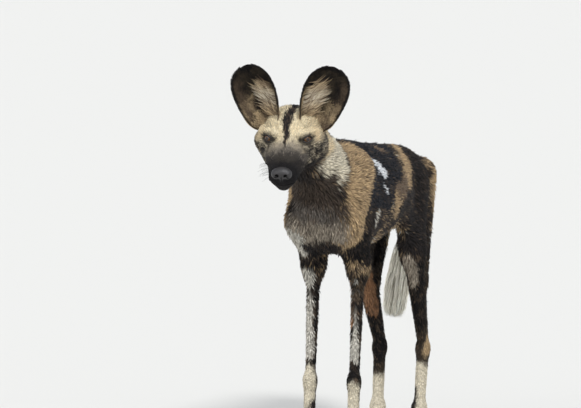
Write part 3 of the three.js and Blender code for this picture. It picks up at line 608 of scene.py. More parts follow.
# Colours, as seen on a screen.
def linear(red, green, blue):
    c = np.array([red, green, blue]) / 255.0
    return np.where(c <= 0.04045, c / 12.92, ((c + 0.055) / 1.055) ** 2.4)


STRAW = linear(226, 212, 180)
SAND = linear(200, 176, 138)
OCHRE = linear(178, 153, 118)
RUST = linear(140, 104, 76)
BROWN = linear(112, 95, 78)
UMBER = linear(66, 57, 50)
SOOT = linear(35, 32, 32)
BLACK = linear(17, 15, 16)
BLUE_BLACK = linear(25, 27, 33)
SMOKE = linear(98, 92, 86)
STONE = linear(150, 140, 126)
ASH = linear(194, 190, 180)
CREAM = linear(214, 205, 184)
WHITE = linear(230, 233, 236)
IVORY = linear(244, 239, 224)
HIDE = linear(28, 26, 27)
HORN = linear(52, 45, 40)


def laid(rgb, colour, weight):
    """A colour laid over another, as thick as each point's weight says."""
    return mix(rgb, colour, weight[:, None])


def strip(p, a, b, radius):
    """How far a point is from a line between two places, 1 being the edge of the marking."""
    start, end = np.array(a, float), np.array(b, float)
    axis = end - start
    t = np.clip((p - start) @ axis / max(axis @ axis, 1e-6), 0.0, 1.0)
    return np.linalg.norm(p - start - t[:, None] * axis, axis=1) / radius


# Where the legs' own colours begin.
LEG_TOP = 430.0

# Markings of the body, one over the other: colour, softness of the edge, two ends and a radius.
MARKINGS = [
    (BLUE_BLACK, 0.25, [48, -185, 668], [84, -60, 612], 64),
    (BLUE_BLACK, 0.25, [82, -235, 585], [90, -120, 575], 40),
    (BLUE_BLACK, 0.25, [20, -150, 690], [30, 20, 676], 46),
    (BROWN, 0.6, [37, -41, 669], [40, -20, 668], 13),
    (OCHRE, 0.5, [30, 160, 655], [62, 88, 632], 27),
    (OCHRE, 0.5, [66, 84, 622], [84, 44, 588], 23),
    (BROWN, 0.6, [86, 20, 588], [90, -50, 572], 19),
    (OCHRE, 0.7, [90, -55, 560], [88, -36, 520], 15),
    (SOOT, 0.25, [62, 180, 622], [76, 196, 500], 58),
    (SOOT, 0.25, [78, 113, 532], [80, 130, 440], 44),
    (OCHRE, 0.4, [40, 312, 612], [70, 292, 560], 22),
    (OCHRE, 0.4, [70, 290, 560], [66, 296, 450], 23),
    (OCHRE, 0.3, [58, -262, 676], [76, -294, 610], 47),
    (OCHRE, 0.3, [76, -300, 606], [86, -324, 512], 42),
    (WHITE, 0.2, [66, -168, 648], [78, -112, 623], 14),
    (WHITE, 0.2, [79, -160, 620], [88, -124, 590], 8.5),
    (ASH, 0.3, [84, -190, 536], [84, -182, 498], 9),
    (CREAM, 0.4, [50, -418, 690], [46, -345, 700], 33),
    (CREAM, 0.5, [50, -425, 664], [58, -364, 650], 30),
    (UMBER, 0.4, [44, -404, 622], [54, -366, 556], 24),
    (ASH, 0.3, [50, -378, 606], [52, -368, 566], 9),
    (UMBER, 0.4, [-30, -398, 600], [22, -402, 594], 42),
    (SMOKE, 0.8, [-34, -380, 548], [34, -384, 538], 30),
    (STONE, 0.7, [-44, -364, 516], [40, -364, 500], 33),
    (ASH, 0.4, [-58, -352, 502], [-62, -304, 462], 17),
    (BLACK, 0.3, [-10, -286, 446], [14, -280, 446], 30),
    (BLACK, 0.25, [74, -282, 470], [78, -222, 470], 36),
    (BLACK, 0.3, [-58, -240, 452], [-58, -210, 452], 34),
    (OCHRE, 0.35, [-60, -250, 664], [-80, -300, 590], 44),
    (CREAM, 0.4, [-52, -418, 684], [-50, -350, 694], 30),
    (SOOT, 0.3, [-50, -180, 668], [-84, -90, 610], 60),
    (WHITE, 0.2, [-70, -60, 640], [-86, -20, 606], 17),
    (OCHRE, 0.45, [-50, 70, 640], [-84, 20, 580], 30),
    (WHITE, 0.25, [-80, 110, 560], [-82, 130, 530], 15),
    (SOOT, 0.3, [-60, 200, 618], [-76, 190, 520], 50),
    (OCHRE, 0.4, [-56, 300, 590], [-66, 292, 460], 24),
]
LEG_MARKINGS = [
    (ASH, 0.3, [-58, -258, 412], [-54, -262, 240], 17),
    (ASH, 0.3, [50, -260, 398], [56, -260, 230], 13),
    (RUST, 0.4, [33, -240, 396], [38, -246, 300], 9),
    (CREAM, 0.5, [-52, -276, 190], [-50, -290, 20], 27),
    (CREAM, 0.5, [52, -276, 150], [50, -290, 20], 26),
    (SOOT, 0.5, [-34, -262, 120], [-36, -270, 60], 15),
    (SOOT, 0.5, [66, -250, 110], [68, -258, 84], 12),
    (RUST, 0.3, [-58, 120, 420], [-46, 214, 290], 20),
    (STONE, 0.3, [62, 112, 412], [64, 150, 352], 15),
    (CREAM, 0.5, [52, 250, 136], [50, 214, 16], 27),
    (CREAM, 0.5, [-52, 260, 110], [-50, 222, 16], 26),
    (OCHRE, 0.5, [64, 264, 220], [62, 258, 190], 13),
    (SOOT, 0.5, [36, 246, 96], [38, 240, 60], 14),
]
# Bands of the tail below its ochre root: colour, and the heights between which it begins.
TAIL_BANDS = [(SOOT, 535, 512), (IVORY, 462, 430)]


def marked(rgb, p, jitter, markings):
    """The markings over a colour, their edges broken by the jitter."""
    for colour, soft, a, b, radius in markings:
        near = strip(p, a, b, radius) + jitter * soft * 0.5
        rgb = laid(rgb, colour, ramp(1 + soft / 2, 1 - soft / 2, near))
    return rgb


def body_colour(p, jitter):
    """Mottled dark ground, with the markings laid over it."""
    mottle = noise(p, 42, 9) + 0.55 * noise(p, 17, 10) + 0.5 * jitter
    rgb = laid(SOOT, UMBER, ramp(-0.5, 0.6, mottle))
    rgb = laid(rgb, OCHRE, ramp(0.3, 0.62, mottle) * 0.8)
    rgb = laid(rgb, ASH, ramp(0.78, 1.0, mottle - 0.3 * jitter))
    warp = waves(p, 34, 9, (1, 2, 3)) + waves(p, 12, 4, (6, 7, 8))
    rgb = marked(rgb, p + warp, jitter, MARKINGS)
    legs = laid(BLACK, BROWN, ramp(0.1, 0.8, noise(p, 26, 21) + 0.4 * jitter) * 0.5)
    rgb = laid(rgb, legs, ramp(LEG_TOP, LEG_TOP - 30, p[:, 2]) * 0.9)
    rgb = marked(rgb, p + waves(p, 16, 4, (31, 32, 33)), jitter, LEG_MARKINGS)
    # Flecks, which leave the whitest places clear.
    fleck = noise(p * [1.0, 0.6, 1.0], 7.5, 43) + 0.5 * noise(p, 15, 44) + 0.55 * jitter
    dull = ramp(0.66, 0.45, rgb.mean(axis=1))
    rgb = laid(rgb, BROWN, ramp(0.4, 1.0, fleck) * dull * 0.45)
    return laid(rgb, UMBER, ramp(-0.35, -0.95, fleck) * dull * 0.65)


def tail_colour(p, jitter):
    z = p[:, 2] + noise(p, 14, 41) * 8 + jitter * 16
    rgb = np.broadcast_to(OCHRE, p.shape)
    for colour, high, low in TAIL_BANDS:
        rgb = laid(rgb, colour, ramp(high, low, z))
    return rgb


# The forehead's stripe: where its middle and its half width stand along the head.
STRIPE_MIDDLE = ([-12, 11, 26, 40, 62, 90], [-2.7, -3.6, -2.0, 0.5, 6.0, 3.0])
STRIPE_WIDTH = (
    [-24, -10, 4, 14, 30, 42, 62, 110],
    [2.0, 4.0, 6.5, 11.0, 11.5, 9.0, 8.5, 9.0],
)


def head_colour(p, h, jitter):
    u, v, w = h.T
    wave = noise(p, 9, 51)
    fine = noise(p, 4.5, 52)
    streak = noise(h * [1.0, 0.28, 0.6], 4.0, 53)
    side = np.abs(u)
    blend = jitter * 0.9 + fine * 0.3 + streak * 0.5
    # Pale ground, richer to the sides.
    rgb = laid(STRAW, SAND, ramp(-0.2, 1.8, 0.5 * wave + blend + ramp(30, 62, side)) * 0.7)
    # Dark cheeks, brindled with tan.
    cheek = ramp(1, -15, w + 4 * wave - 0.18 * (v - 10)) * ramp(60, 40, v + 4 * wave)
    brindle = ramp(-1.1, 0.3, wave * 0.6 + blend - ramp(26, 50, v) * 0.55)
    rgb = laid(rgb, laid(SMOKE, SOOT, brindle), cheek * mix(0.5, 1.0, brindle))
    # Dark bands down the back of the cheeks.
    band = ramp(1.3, 0.7, np.hypot((v - 48 - 4 * wave) / 8, (w + 24) / 30) + jitter * 0.4)
    rgb = laid(rgb, SOOT, band * ramp(44, 56, side) * 0.75)
    # The muzzle: grey between the eyes, darker towards the nose and below.
    grey = ramp(0, -22, v + 7 * blend) * ramp(46, 24, side) * ramp(-24, -10, w + 4 * wave)
    rgb = laid(rgb, STONE, grey * 0.75)
    top = ramp(0, -42, v + 12 * blend + 5 * wave + 0.3 * side)
    rgb = laid(rgb, laid(SMOKE, SOOT, ramp(-22, -62, v + 14 * blend)), top * 0.95)
    rgb = laid(rgb, STONE, ramp(0.55, 1.1, streak + jitter) * ramp(-70, -50, v) * top * 0.6)
    rgb = laid(rgb, BLACK, ramp(-66, -90, v + 5 * blend))
    jaw = ramp(5, -6, mouth_gap(h) + 3 * blend) * ramp(50, 20, v)
    rgb = laid(rgb, SOOT, jaw * 0.9)
    under = ramp(-60, -74, w + 5 * blend) * ramp(-20, 30, v)
    rgb = laid(rgb, UMBER, under * 0.9)
    # The stripe down the middle of the forehead.
    middle = np.interp(v, *STRIPE_MIDDLE)
    near = np.abs(u - middle + 2.6 * wave) / np.interp(v, *STRIPE_WIDTH) + jitter * 0.35
    stripe = ramp(1.2, 0.7, near) * ramp(-16, 0, w + 0.6 * v + 20)
    rgb = laid(rgb, laid(SOOT, BROWN, ramp(0.1, 0.9, fine + jitter) * 0.5), stripe)
    # Dark rings round the eyes, drawn out to the inner corners.
    for seat in EYE_SEATS.values():
        q, out = eye_place(p, seat)
        inward = -q[:, 0] * seat["side"]
        ring = ramp(2.5, 1.35, out + 0.45 * blend + ramp(9, 0, inward) * 0.2)
        ring = ring * ramp(40, 20, np.linalg.norm(q, axis=1))
        rgb = laid(rgb, SOOT, ring * 0.95)
        below = ramp(1.3, 0.6, np.hypot((q[:, 0] - 2 * seat["side"]) / 21, (q[:, 1] + 14) / 11))
        rgb = laid(rgb, SOOT, below * ramp(-0.9, 0.2, blend + wave) * 0.85)
    return laid(rgb, BLACK, np.exp(-(mouth_gap(h) / 3.2) ** 2) * ramp(14, 0, v))


def tail_part(p):
    """1 on the tail and 0 off it."""
    near = np.full(len(p), 1e3)
    for a, b in zip(TAIL[:-1], TAIL[1:]):
        near = np.minimum(near, strip(p, a[:3], b[:3], 1.0))
    return ramp(36, 26, near) * ramp(322, 336, p[:, 1] + 0.15 * (603 - p[:, 2]))


def coat_colour(p, jitter):
    h = to_head(p)
    rgb = laid(body_colour(p, jitter), tail_colour(p, jitter), tail_part(p))
    return laid(rgb, head_colour(p, h, jitter), head_part(p, h))


# Unwrap of the skin: each part is rolled out round its own axis, in its own square of the sheet.
SQUARES = 3
TRUNK_SQUARE, HEAD_SQUARE, TAIL_SQUARE, FORE_SQUARE, HIND_SQUARE, EAR_SQUARE = 0, 1, 2, 3, 5, 7
EDGE = 0.012
MID_Y = -40.0
TRUNK_CORE = 570.0
TAIL_CORE = (-8.0, 352.0)
HIND_CORE = ([50, 190, LEG_TOP], [246, 272, 190])
TURN = 2 * math.pi


def part_of(p):
    """The square of the sheet that each point belongs to."""
    right = (p[:, 0] < 0).astype(int)
    leg = np.where(p[:, 1] < MID_Y, FORE_SQUARE, HIND_SQUARE) + right
    part = np.where(p[:, 2] < LEG_TOP, leg, TRUNK_SQUARE)
    part[tail_part(p) > 0.5] = TAIL_SQUARE
    part[head_part(p, to_head(p)) > 0.5] = HEAD_SQUARE
    return part


def square_of(part, x, y):
    side = 1.0 / SQUARES
    column = part % SQUARES
    row = part // SQUARES
    inner = side - 2 * EDGE
    return np.stack([column * side + EDGE + x * inner, row * side + EDGE + y * inner], axis=-1)


def rolled_out(p, part, near=None):
    """Where a point lies on the sheet. near is a point whose turn it is kept close to."""
    turn = turn_about(p, part)
    if near is not None:
        base = turn_about(near, part)
        turn = base + (turn - base + math.pi) % TURN - math.pi
    on_trunk = (p[:, 1] + 460) / 850
    on_head = (to_head(p)[:, 1] + 130) / 290
    reach = np.where(part == HEAD_SQUARE, on_head, p[:, 2] / 660)
    reach = np.where(part == TRUNK_SQUARE, on_trunk, reach)
    return square_of(part, np.clip(turn / TURN + 0.5, -0.02, 1.02), np.clip(reach, 0, 1))


def turn_about(p, part):
    """The angle of a point round its part's own axis."""
    h = to_head(p)
    centre_x = np.where(p[:, 0] > 0, LEG_X, -LEG_X)
    centre_y = np.where(p[:, 1] < MID_Y, FORE_Y + 8, np.interp(p[:, 2], *HIND_CORE))
    turn = np.arctan2(p[:, 0] - centre_x, centre_y - p[:, 1])
    turn = np.where(part == TRUNK_SQUARE, np.arctan2(p[:, 0], p[:, 2] - TRUNK_CORE), turn)
    turn = np.where(part == HEAD_SQUARE, np.arctan2(h[:, 0], h[:, 2] + 30), turn)
    tail_turn = np.arctan2(p[:, 0] - TAIL_CORE[0], p[:, 1] - TAIL_CORE[1])
    return np.where(part == TAIL_SQUARE, tail_turn, turn)


# Materials.
def material(name, colour, roughness, specular):
    made = bpy.data.materials.new(name)
    made.use_nodes = True
    shader = made.node_tree.nodes["Principled BSDF"]
    shader.inputs["Base Color"].default_value = (*colour, 1.0)
    shader.inputs["Roughness"].default_value = roughness
    shader.inputs["Specular IOR Level"].default_value = specular
    return made, shader


def painted(made, shader, shade_scale, shade_depth):
    """Base colour from the mesh's own colours, varied a little by fine noise."""
    nodes, links = made.node_tree.nodes, made.node_tree.links
    colour = nodes.new("ShaderNodeAttribute")
    colour.attribute_name = "Coat"
    grain = nodes.new("ShaderNodeTexNoise")
    grain.inputs["Scale"].default_value = shade_scale
    grain.inputs["Detail"].default_value = 4.0
    spread = nodes.new("ShaderNodeMapRange")
    spread.inputs["To Min"].default_value = 1.0 - shade_depth
    spread.inputs["To Max"].default_value = 1.0 + shade_depth
    scale = nodes.new("ShaderNodeVectorMath")
    scale.operation = "SCALE"
    place = nodes.new("ShaderNodeTexCoord")
    links.new(place.outputs["Object"], grain.inputs["Vector"])
    links.new(grain.outputs["Fac"], spread.inputs["Value"])
    links.new(colour.outputs["Color"], scale.inputs[0])
    links.new(spread.outputs["Result"], scale.inputs["Scale"])
    links.new(scale.outputs["Vector"], shader.inputs["Base Color"])


def bumped(made, shader, kind, scale, strength, distance):
    nodes, links = made.node_tree.nodes, made.node_tree.links
    place = nodes.new("ShaderNodeTexCoord")
    texture = nodes.new(kind)
    texture.inputs["Scale"].default_value = scale
    bump = nodes.new("ShaderNodeBump")
    bump.inputs["Strength"].default_value = strength
    bump.inputs["Distance"].default_value = distance
    source = "Distance" if kind == PEBBLES else "Fac"
    links.new(place.outputs["Object"], texture.inputs["Vector"])
    links.new(texture.outputs[source], bump.inputs["Height"])
    links.new(bump.outputs["Normal"], shader.inputs["Normal"])


# Each look: name, base colour, roughness, specular, the grain's scale and depth, and its bumps.
LUMPS = "ShaderNodeTexNoise"
PEBBLES = "ShaderNodeTexVoronoi"
LOOKS = {
    "skin": ("coat_skin", STONE, 0.75, 0.2, 260.0, 0.3, (LUMPS, 620.0, 0.6, 0.0012)),
    "fur": ("coat_hair", STONE, 0.66, 0.14, 900.0, 0.22, None),
    "leather": ("nose_leather", HIDE, 0.38, 0.5, 500.0, 0.3, (PEBBLES, 900.0, 0.5, 0.0006)),
    "eye": ("eye", BLACK, 0.2, 0.35, 1400.0, 0.2, None),
    "claw": ("claw_horn", HORN, 0.42, 0.4, 300.0, 0.35, (LUMPS, 300.0, 0.3, 0.0006)),
}
EYE_GLOSS = {"Coat Weight": 0.6, "Coat Roughness": 0.03}


def look_material(name, colour, roughness, specular, grain, depth, bumps):
    made, shader = material(name, colour, roughness, specular)
    painted(made, shader, grain, depth)
    if bumps:
        bumped(made, shader, *bumps)
    if name == "eye":
        for socket, value in EYE_GLOSS.items():
            shader.inputs[socket].default_value = value
    return made


MATERIALS = {key: look_material(*look) for key, look in LOOKS.items()}


def piece(name, points, faces, colours, look, slot, sheet=None):
    """A mesh object in metres. colours are one a point, and sheet one UV a corner."""
    mesh = bpy.data.meshes.new(name)
    mesh.vertices.add(len(points))
    mesh.vertices.foreach_set("co", ((points + ORIGIN) / MM).astype(np.float32).ravel())
    mesh.loops.add(faces.size)
    mesh.loops.foreach_set("vertex_index", faces.astype(np.int32).ravel())
    mesh.polygons.add(len(faces))
    mesh.polygons.foreach_set("loop_start", np.arange(0, faces.size, 3, dtype=np.int32))
    mesh.polygons.foreach_set("loop_total", np.full(len(faces), 3, dtype=np.int32))
    mesh.update(calc_edges=True)
    mesh.validate()
    mesh.polygons.foreach_set("use_smooth", np.ones(len(mesh.polygons), bool))
    layer = mesh.color_attributes.new("Coat", "FLOAT_COLOR", "POINT")
    layer.data.foreach_set("color", np.c_[colours, np.ones(len(points))].astype(np.float32).ravel())
    if sheet is not None:
        flat = mesh.uv_layers.new(name="OFBake")
        flat.data.foreach_set("uv", sheet.astype(np.float32).ravel())
    mesh.materials.append(MATERIALS[look])
    made = bpy.data.objects.new(name, mesh)
    bpy.context.scene.collection.objects.link(made)
    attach(made, "root")
    return made


# The ears: broad cupped leaves with round tips, open to the front.
EAR_ROOT = np.array([44.0, 60.0, 9.0])
EAR_TIP = np.array([94.0, 66.0, 139.0])
EAR_OUTWARD = math.radians(11)
EAR_THICK = 4.2
EAR_WIDEST = 0.45
EAR_HALF = (50.0, 60.0)
EAR_CURL = (1.5, 1.05, 0.6)
EAR_LOBE = 0.16
EAR_LOBE_REACH = 0.26
EAR_BOW = 9.0
EAR_ROWS = 44
EAR_COLUMNS = 40
# The hollow face's colours are darkened by this share: painted shade in the cup of the ear.
EAR_HOLLOW_PAINTED_SHADE = 0.6
# The skin's colours, under the coat, are darkened by this share as painted shade.
SKIN_PAINTED_SHADE = 0.8
SKIN_IN = 1.0


def ear_axes(side):
    axis = unit((EAR_TIP - EAR_ROOT) * [side, 1, 1])
    facing = np.array([math.sin(EAR_OUTWARD) * side, -math.cos(EAR_OUTWARD), 0.0])
    front = unit(facing - axis * (facing @ axis))
    return axis, front, np.cross(front, axis) * side


def ear_point(side, s, q, back=None, inside=0.0):
    """A place on an ear: s runs up it, q from edge to edge, 1 next to the midline.
    back is a depth under the rear face, and inside a height over the hollow face."""
    axis, front, across = ear_axes(side)
    rise = np.clip(s / EAR_WIDEST, 0, 1)
    fall = np.clip((s - EAR_WIDEST) / (1 - EAR_WIDEST), 0, 1)
    lobe = np.clip((EAR_LOBE - s) / EAR_LOBE_REACH, 0, 1)
    half = mix(*EAR_HALF, np.sin(rise * math.pi / 2))
    half = np.maximum(half * np.sqrt(np.maximum((1 - fall ** 2.6) * (1 - lobe ** 2), 0)), 1.5)
    curl = mix(mix(EAR_CURL[0], EAR_CURL[1], rise), EAR_CURL[2], fall)
    radius = half / curl
    thick = EAR_THICK * mix(1, 0.55, s)
    r = np.maximum(radius - thick - inside if back is None else radius - back, 0.4)
    place = EAR_ROOT * [side, 1, 1] + axis * (s * EAR_LENGTH)[..., None]
    place = place - front * (EAR_BOW * np.sin(math.pi * s))[..., None]
    place = place + across * (r * np.sin(curl * q))[..., None]
    place = place + front * (radius - r * np.cos(curl * q))[..., None]
    return from_head(place)


def ear_colour(p, s, q, hollow, jitter):
    """Black-brown over the hollow's upper half and down its middle, brown and tan round it, and the
    whole hollow face darkened as painted shade.
    """
    wave = noise(p, 13, 61) + 0.6 * jitter
    fleck = noise(p, 6, 62) + 0.6 * jitter
    inner = laid(SAND, BROWN, ramp(-0.6, 0.7, wave))
    inner = laid(inner, UMBER, ramp(0.2, 0.9, fleck) * 0.7)
    upper = ramp(0.34, 0.5, s + 0.07 * wave)
    middle = ramp(0.16, 0.26, s + 0.04 * wave) * np.exp(-((q + 0.12 + 0.1 * wave) / 0.3) ** 2)
    inner = laid(inner, BLACK, np.maximum(upper, middle) * 0.93)
    outward = ramp(-0.42, -0.72, q + 0.12 * wave) * ramp(0.2, 0.34, s) * ramp(0.86, 0.7, s)
    inner = laid(inner, BROWN, outward * 0.6)
    inward = ramp(0.62, 0.8, q) * ramp(0.62, 0.4, s)
    inner = laid(inner, laid(SAND, UMBER, ramp(-0.3, 0.5, fleck)), inward * 0.85)
    rim = np.maximum(s - 0.9, np.abs(q) - 0.9)
    inner = laid(inner, BLACK, ramp(-0.05, 0.02, rim + 0.03 * wave) * 0.9)
    rear = laid(SOOT, UMBER, ramp(-0.4, 0.9, wave))
    rear = laid(rear, SAND, ramp(0.28, 0.05, s + 0.08 * wave) * 0.9)
    # The hollow face darkened all over: painted shade in the cup of the ear.
    return np.where(hollow[:, None], inner * EAR_HOLLOW_PAINTED_SHADE, rear)


def ear_sheet(side, s, q, hollow):
    """Four strips in the ears' square: the two faces of each ear."""
    strip_number = np.where(side > 0, 0, 2) + np.where(hollow, 0, 1)
    x = (strip_number + 0.06 + 0.88 * (q * 0.5 + 0.5)) / 4
    return square_of(np.full(np.shape(x), EAR_SQUARE), x, np.clip(s, 0, 1) * 0.96 + 0.02)


def ring_faces(corners, flip):
    """Triangles of rings of four corners."""
    ring = np.stack(corners, axis=1)
    ring = ring[:, ::-1] if flip else ring
    return np.concatenate([ring[:, [0, 1, 2]], ring[:, [0, 2, 3]]])


def flat_grid(first, second):
    """All pairs of two rows of values, as two flat rows."""
    return [g.ravel() for g in np.meshgrid(first, second, indexing="ij")]


def ear_mesh(side):
    """An ear's skin as one closed surface, with colours and its sheet."""
    s = np.sin(math.pi / 2 * np.linspace(0, 1, EAR_ROWS + 1)) * 0.992
    q = np.linspace(-1, 1, EAR_COLUMNS + 1) * 0.985
    grid_s, grid_q = flat_grid(s, q)
    outer = ear_point(side, grid_s, grid_q, back=SKIN_IN)
    inner = ear_point(side, grid_s, grid_q, inside=-SKIN_IN)
    ripple = noise(inner, 15, 71)[:, None] * 0.6 * ear_axes(side)[1] @ HEAD
    points = np.concatenate([outer, inner + ripple])
    row = EAR_COLUMNS + 1
    i, j = flat_grid(np.arange(EAR_ROWS), np.arange(EAR_COLUMNS))
    at = i * row + j
    near = np.arange(EAR_ROWS) * row
    far = near + EAR_COLUMNS
    foot = np.arange(EAR_COLUMNS)
    top = foot + EAR_ROWS * row
    over = (EAR_ROWS + 1) * row
    rings = [
        (at, at + 1, at + row + 1, at + row),
        (at + over, at + row + over, at + row + 1 + over, at + 1 + over),
        (near, near + row, near + row + over, near + over),
        (far, far + over, far + row + over, far + row),
        (foot, foot + over, foot + 1 + over, foot + 1),
        (top, top + 1, top + 1 + over, top + over),
    ]
    faces = np.concatenate([ring_faces(ring, side < 0) for ring in rings])
    hollow = np.arange(len(points)) >= len(outer)
    both_s, both_q = np.tile(grid_s, 2), np.tile(grid_q, 2)
    # The ear's skin darkened as painted shade under its hair.
    colours = ear_colour(points, both_s, both_q, hollow, np.zeros(len(points))) * SKIN_PAINTED_SHADE
    return points, faces, colours, ear_sheet(side, both_s, both_q, hollow)[faces.ravel()]


# The skin: one closed surface over the whole animal, finest at the eyes and mouth.
SKIN_CELL = 5.0
SKIN_LOW = [-126, -648, -8]
SKIN_HIGH = [126, 402, 806]


def near_eyes(p, reach):
    h = to_head(p)
    close = [np.linalg.norm(h - seat["centre"], axis=1) < reach for seat in EYE_SEATS.values()]
    return close[0] | close[1]


def at_mouth(p, reach):
    h = to_head(p)
    ahead = h[:, 1] < MOUTH["corner"] + 12
    return (np.abs(mouth_gap(h)) < reach) & ahead & (head_part(p, h) > 0.9)


# Where the skin's triangles are cut finer, one step after the other.
FINER = (
    lambda p: (head_part(p, to_head(p)) > 0.3) | (p[:, 2] < 66),
    lambda p: near_eyes(p, 34) | at_mouth(p, 9),
    lambda p: near_eyes(p, 20),
)


def skin_mesh():
    points, faces = surface(skin, SKIN_LOW, SKIN_HIGH, SKIN_CELL)
    points = drawn(points, skin)
    points = drawn(relaxed(points, faces), skin)
    for chosen in FINER:
        points, faces = refined(points, faces, chosen(points[faces].mean(axis=1)))
        points = drawn(points, skin)
    points = drawn(relaxed(points, faces, 0.3), skin)
    return opened(points), faces


# The lids' edge is a narrow band about the almond, and the skin within it lies under the eye.
LID_BAND = 0.055
LID_REACH = 1.6
LID_SINK = 2.2


def opened(points):
    """The lids' edges drawn to the almond, and the skin behind it sunk under the eye."""
    for seat in EYE_SEATS.values():
        q, out = eye_place(points, seat)
        front = (q[:, 2] > 2) & (out < LID_REACH)
        edge = front & (np.abs(out - 1) < LID_BAND)
        q[edge, :2] /= out[edge, None]
        sunk = front & (out <= 1 - LID_BAND)
        ball = np.sqrt(np.maximum(EYE_RADIUS ** 2 - q[:, 0] ** 2 - q[:, 1] ** 2, 4.0))
        q[sunk, 2] = np.minimum(q[sunk, 2], ball[sunk] - LID_SINK)
        moved = edge | sunk
        points[moved] = from_head(q[moved] @ seat["axes"] + seat["centre"])
    return points


FLESH_NODES = ["torso", "neck", "head", "muzzle", "ear_left", "ear_right", "tail", "tail_brush"]
for kind in ("foreleg", "forepaw", "thigh", "shank", "hindfoot", "hindpaw"):
    FLESH_NODES += [f"{kind}_left", f"{kind}_right"]


def gathered(meshes):
    """Meshes as one: points, faces, and whatever else there is for each of them."""
    starts = np.cumsum([0] + [len(mesh[0]) for mesh in meshes[:-1]])
    faces = np.concatenate([mesh[1] + start for mesh, start in zip(meshes, starts)])
    points, *rest = [
        np.concatenate(column) for k, column in enumerate(zip(*meshes)) if k != 1
    ]
    return points, faces, *rest


def make_skin():
    points, faces = skin_mesh()
    # The skin under the coat darkened as painted shade.
    colours = coat_colour(points, np.zeros(len(points))) * SKIN_PAINTED_SHADE
    middle = points[faces].mean(axis=1)
    corners = points[faces].reshape(-1, 3)
    sheet = rolled_out(corners, np.repeat(part_of(middle), 3), np.repeat(middle, 3, axis=0))
    ears = [ear_mesh(side) for side in SIDES.values()]
    *mesh, flat = gathered([(points, faces, colours, sheet), *ears])
    made = piece("skin", *mesh, "skin", "coat", flat)
    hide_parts(*FLESH_NODES)
    return points, faces, corner_normals(points, faces)


# Tufts: flat, bent and tapered, with a three-sided section and a closed root.
# Painted shading along each tuft: its colour darkened at the root as painted shade, and lightened up
# the tuft and at the tip as painted light.
TUFT_ROOT_PAINTED_SHADE = 0.8
TUFT_BODY_PAINTED_LIGHT = 1.05
TUFT_TIP_PAINTED_LIGHT = 1.15
CREST = 0.34
PATCH = (0.0013, 0.0014)


def tuft_mesh(spines, ups, widths, colours, places, profile):
    """spines are (tuft, station, 3); ups point away from the skin; places are on the sheet."""
    count, stations, _ = spines.shape
    rings = stations - 1
    tangent = np.empty_like(spines)
    tangent[:, 1:-1] = spines[:, 2:] - spines[:, :-2]
    tangent[:, 0] = spines[:, 1] - spines[:, 0]
    tangent[:, -1] = spines[:, -1] - spines[:, -2]
    across = unit(np.cross(unit(tangent), ups))
    shape = np.array(profile)[None, :, None] * widths[:, None, None]
    centre = spines[:, :rings]
    arm = across[:, :rings] * shape / 2
    crest = ups[:, :rings] * shape * CREST
    ring = np.stack([centre - arm, centre + arm, centre + crest], axis=2)
    points = np.concatenate([ring.reshape(count, rings * 3, 3), spines[:, -1:]], axis=1)
    each = rings * 3 + 1
    faces = [[0, 1, 2]]
    for k in range(rings - 1):
        for a in range(3):
            b = (a + 1) % 3
            low, high = k * 3, k * 3 + 3
            faces += [[low + a, high + a, low + b], [low + b, high + a, high + b]]
    last = (rings - 1) * 3
    faces += [[last + a, each - 1, last + (a + 1) % 3] for a in range(3)]
    every = (np.array(faces)[None] + (np.arange(count) * each)[:, None, None]).reshape(-1, 3)
    # Painted shade at each tuft's root and painted light towards its tip, multiplied into its
    # colours.
    shade = np.append(np.repeat(np.linspace(TUFT_ROOT_PAINTED_SHADE, TUFT_BODY_PAINTED_LIGHT, rings), 3), TUFT_TIP_PAINTED_LIGHT)
    painted_shade_colours = colours[:, None, :] * shade[None, :, None]
    patch_x = np.append(np.tile([-1.0, 1.0, 0.0], rings), 0.0) * PATCH[0]
    patch_y = np.append(np.repeat(np.linspace(-1, 0.6, rings), 3), 1.0) * PATCH[1]
    corner = places[:, None, :] + np.stack([patch_x, patch_y], axis=1)[None]
    sheet = corner.reshape(-1, 2)[every.ravel()]
    return points.reshape(-1, 3), every, np.clip(painted_shade_colours, 0, 1).reshape(-1, 3), sheet


MOST_FACES = 190000

# Widths of a tuft from its root on, as shares of its full width.
SHORT_TUFT = [0.6, 1.0]
LONG_TUFT = [0.7, 1.0, 0.8, 0.5]
BRUSH_TUFT = [0.6, 1.0, 0.9, 0.55]


def coat_pieces(name, spines, ups, widths, colours, places, profile):
    """Tufts as pieces of no more than MOST_FACES each. ups are one a tuft."""
    each = 4 + 6 * (spines.shape[1] - 2)
    room = MOST_FACES // each
    ups = np.broadcast_to(ups[:, None], spines.shape)
    for n, start in enumerate(range(0, len(spines), room)):
        part = [row[start:start + room] for row in (spines, ups, widths, colours, places)]
        points, faces, painted_shade_colours, sheet = tuft_mesh(*part, profile)
        piece(f"{name}_{n + 1}", points, faces, painted_shade_colours, "fur", "coat", sheet)


# How the coat lies: backwards along the body and down the legs and tail.
DOWN_LEG = np.array([0.0, 0.35, -1.0])
ALONG_TOES = np.array([0.0, -1.0, -0.5])
DOWN_TAIL = np.array([-0.04, 0.02, -1.0])


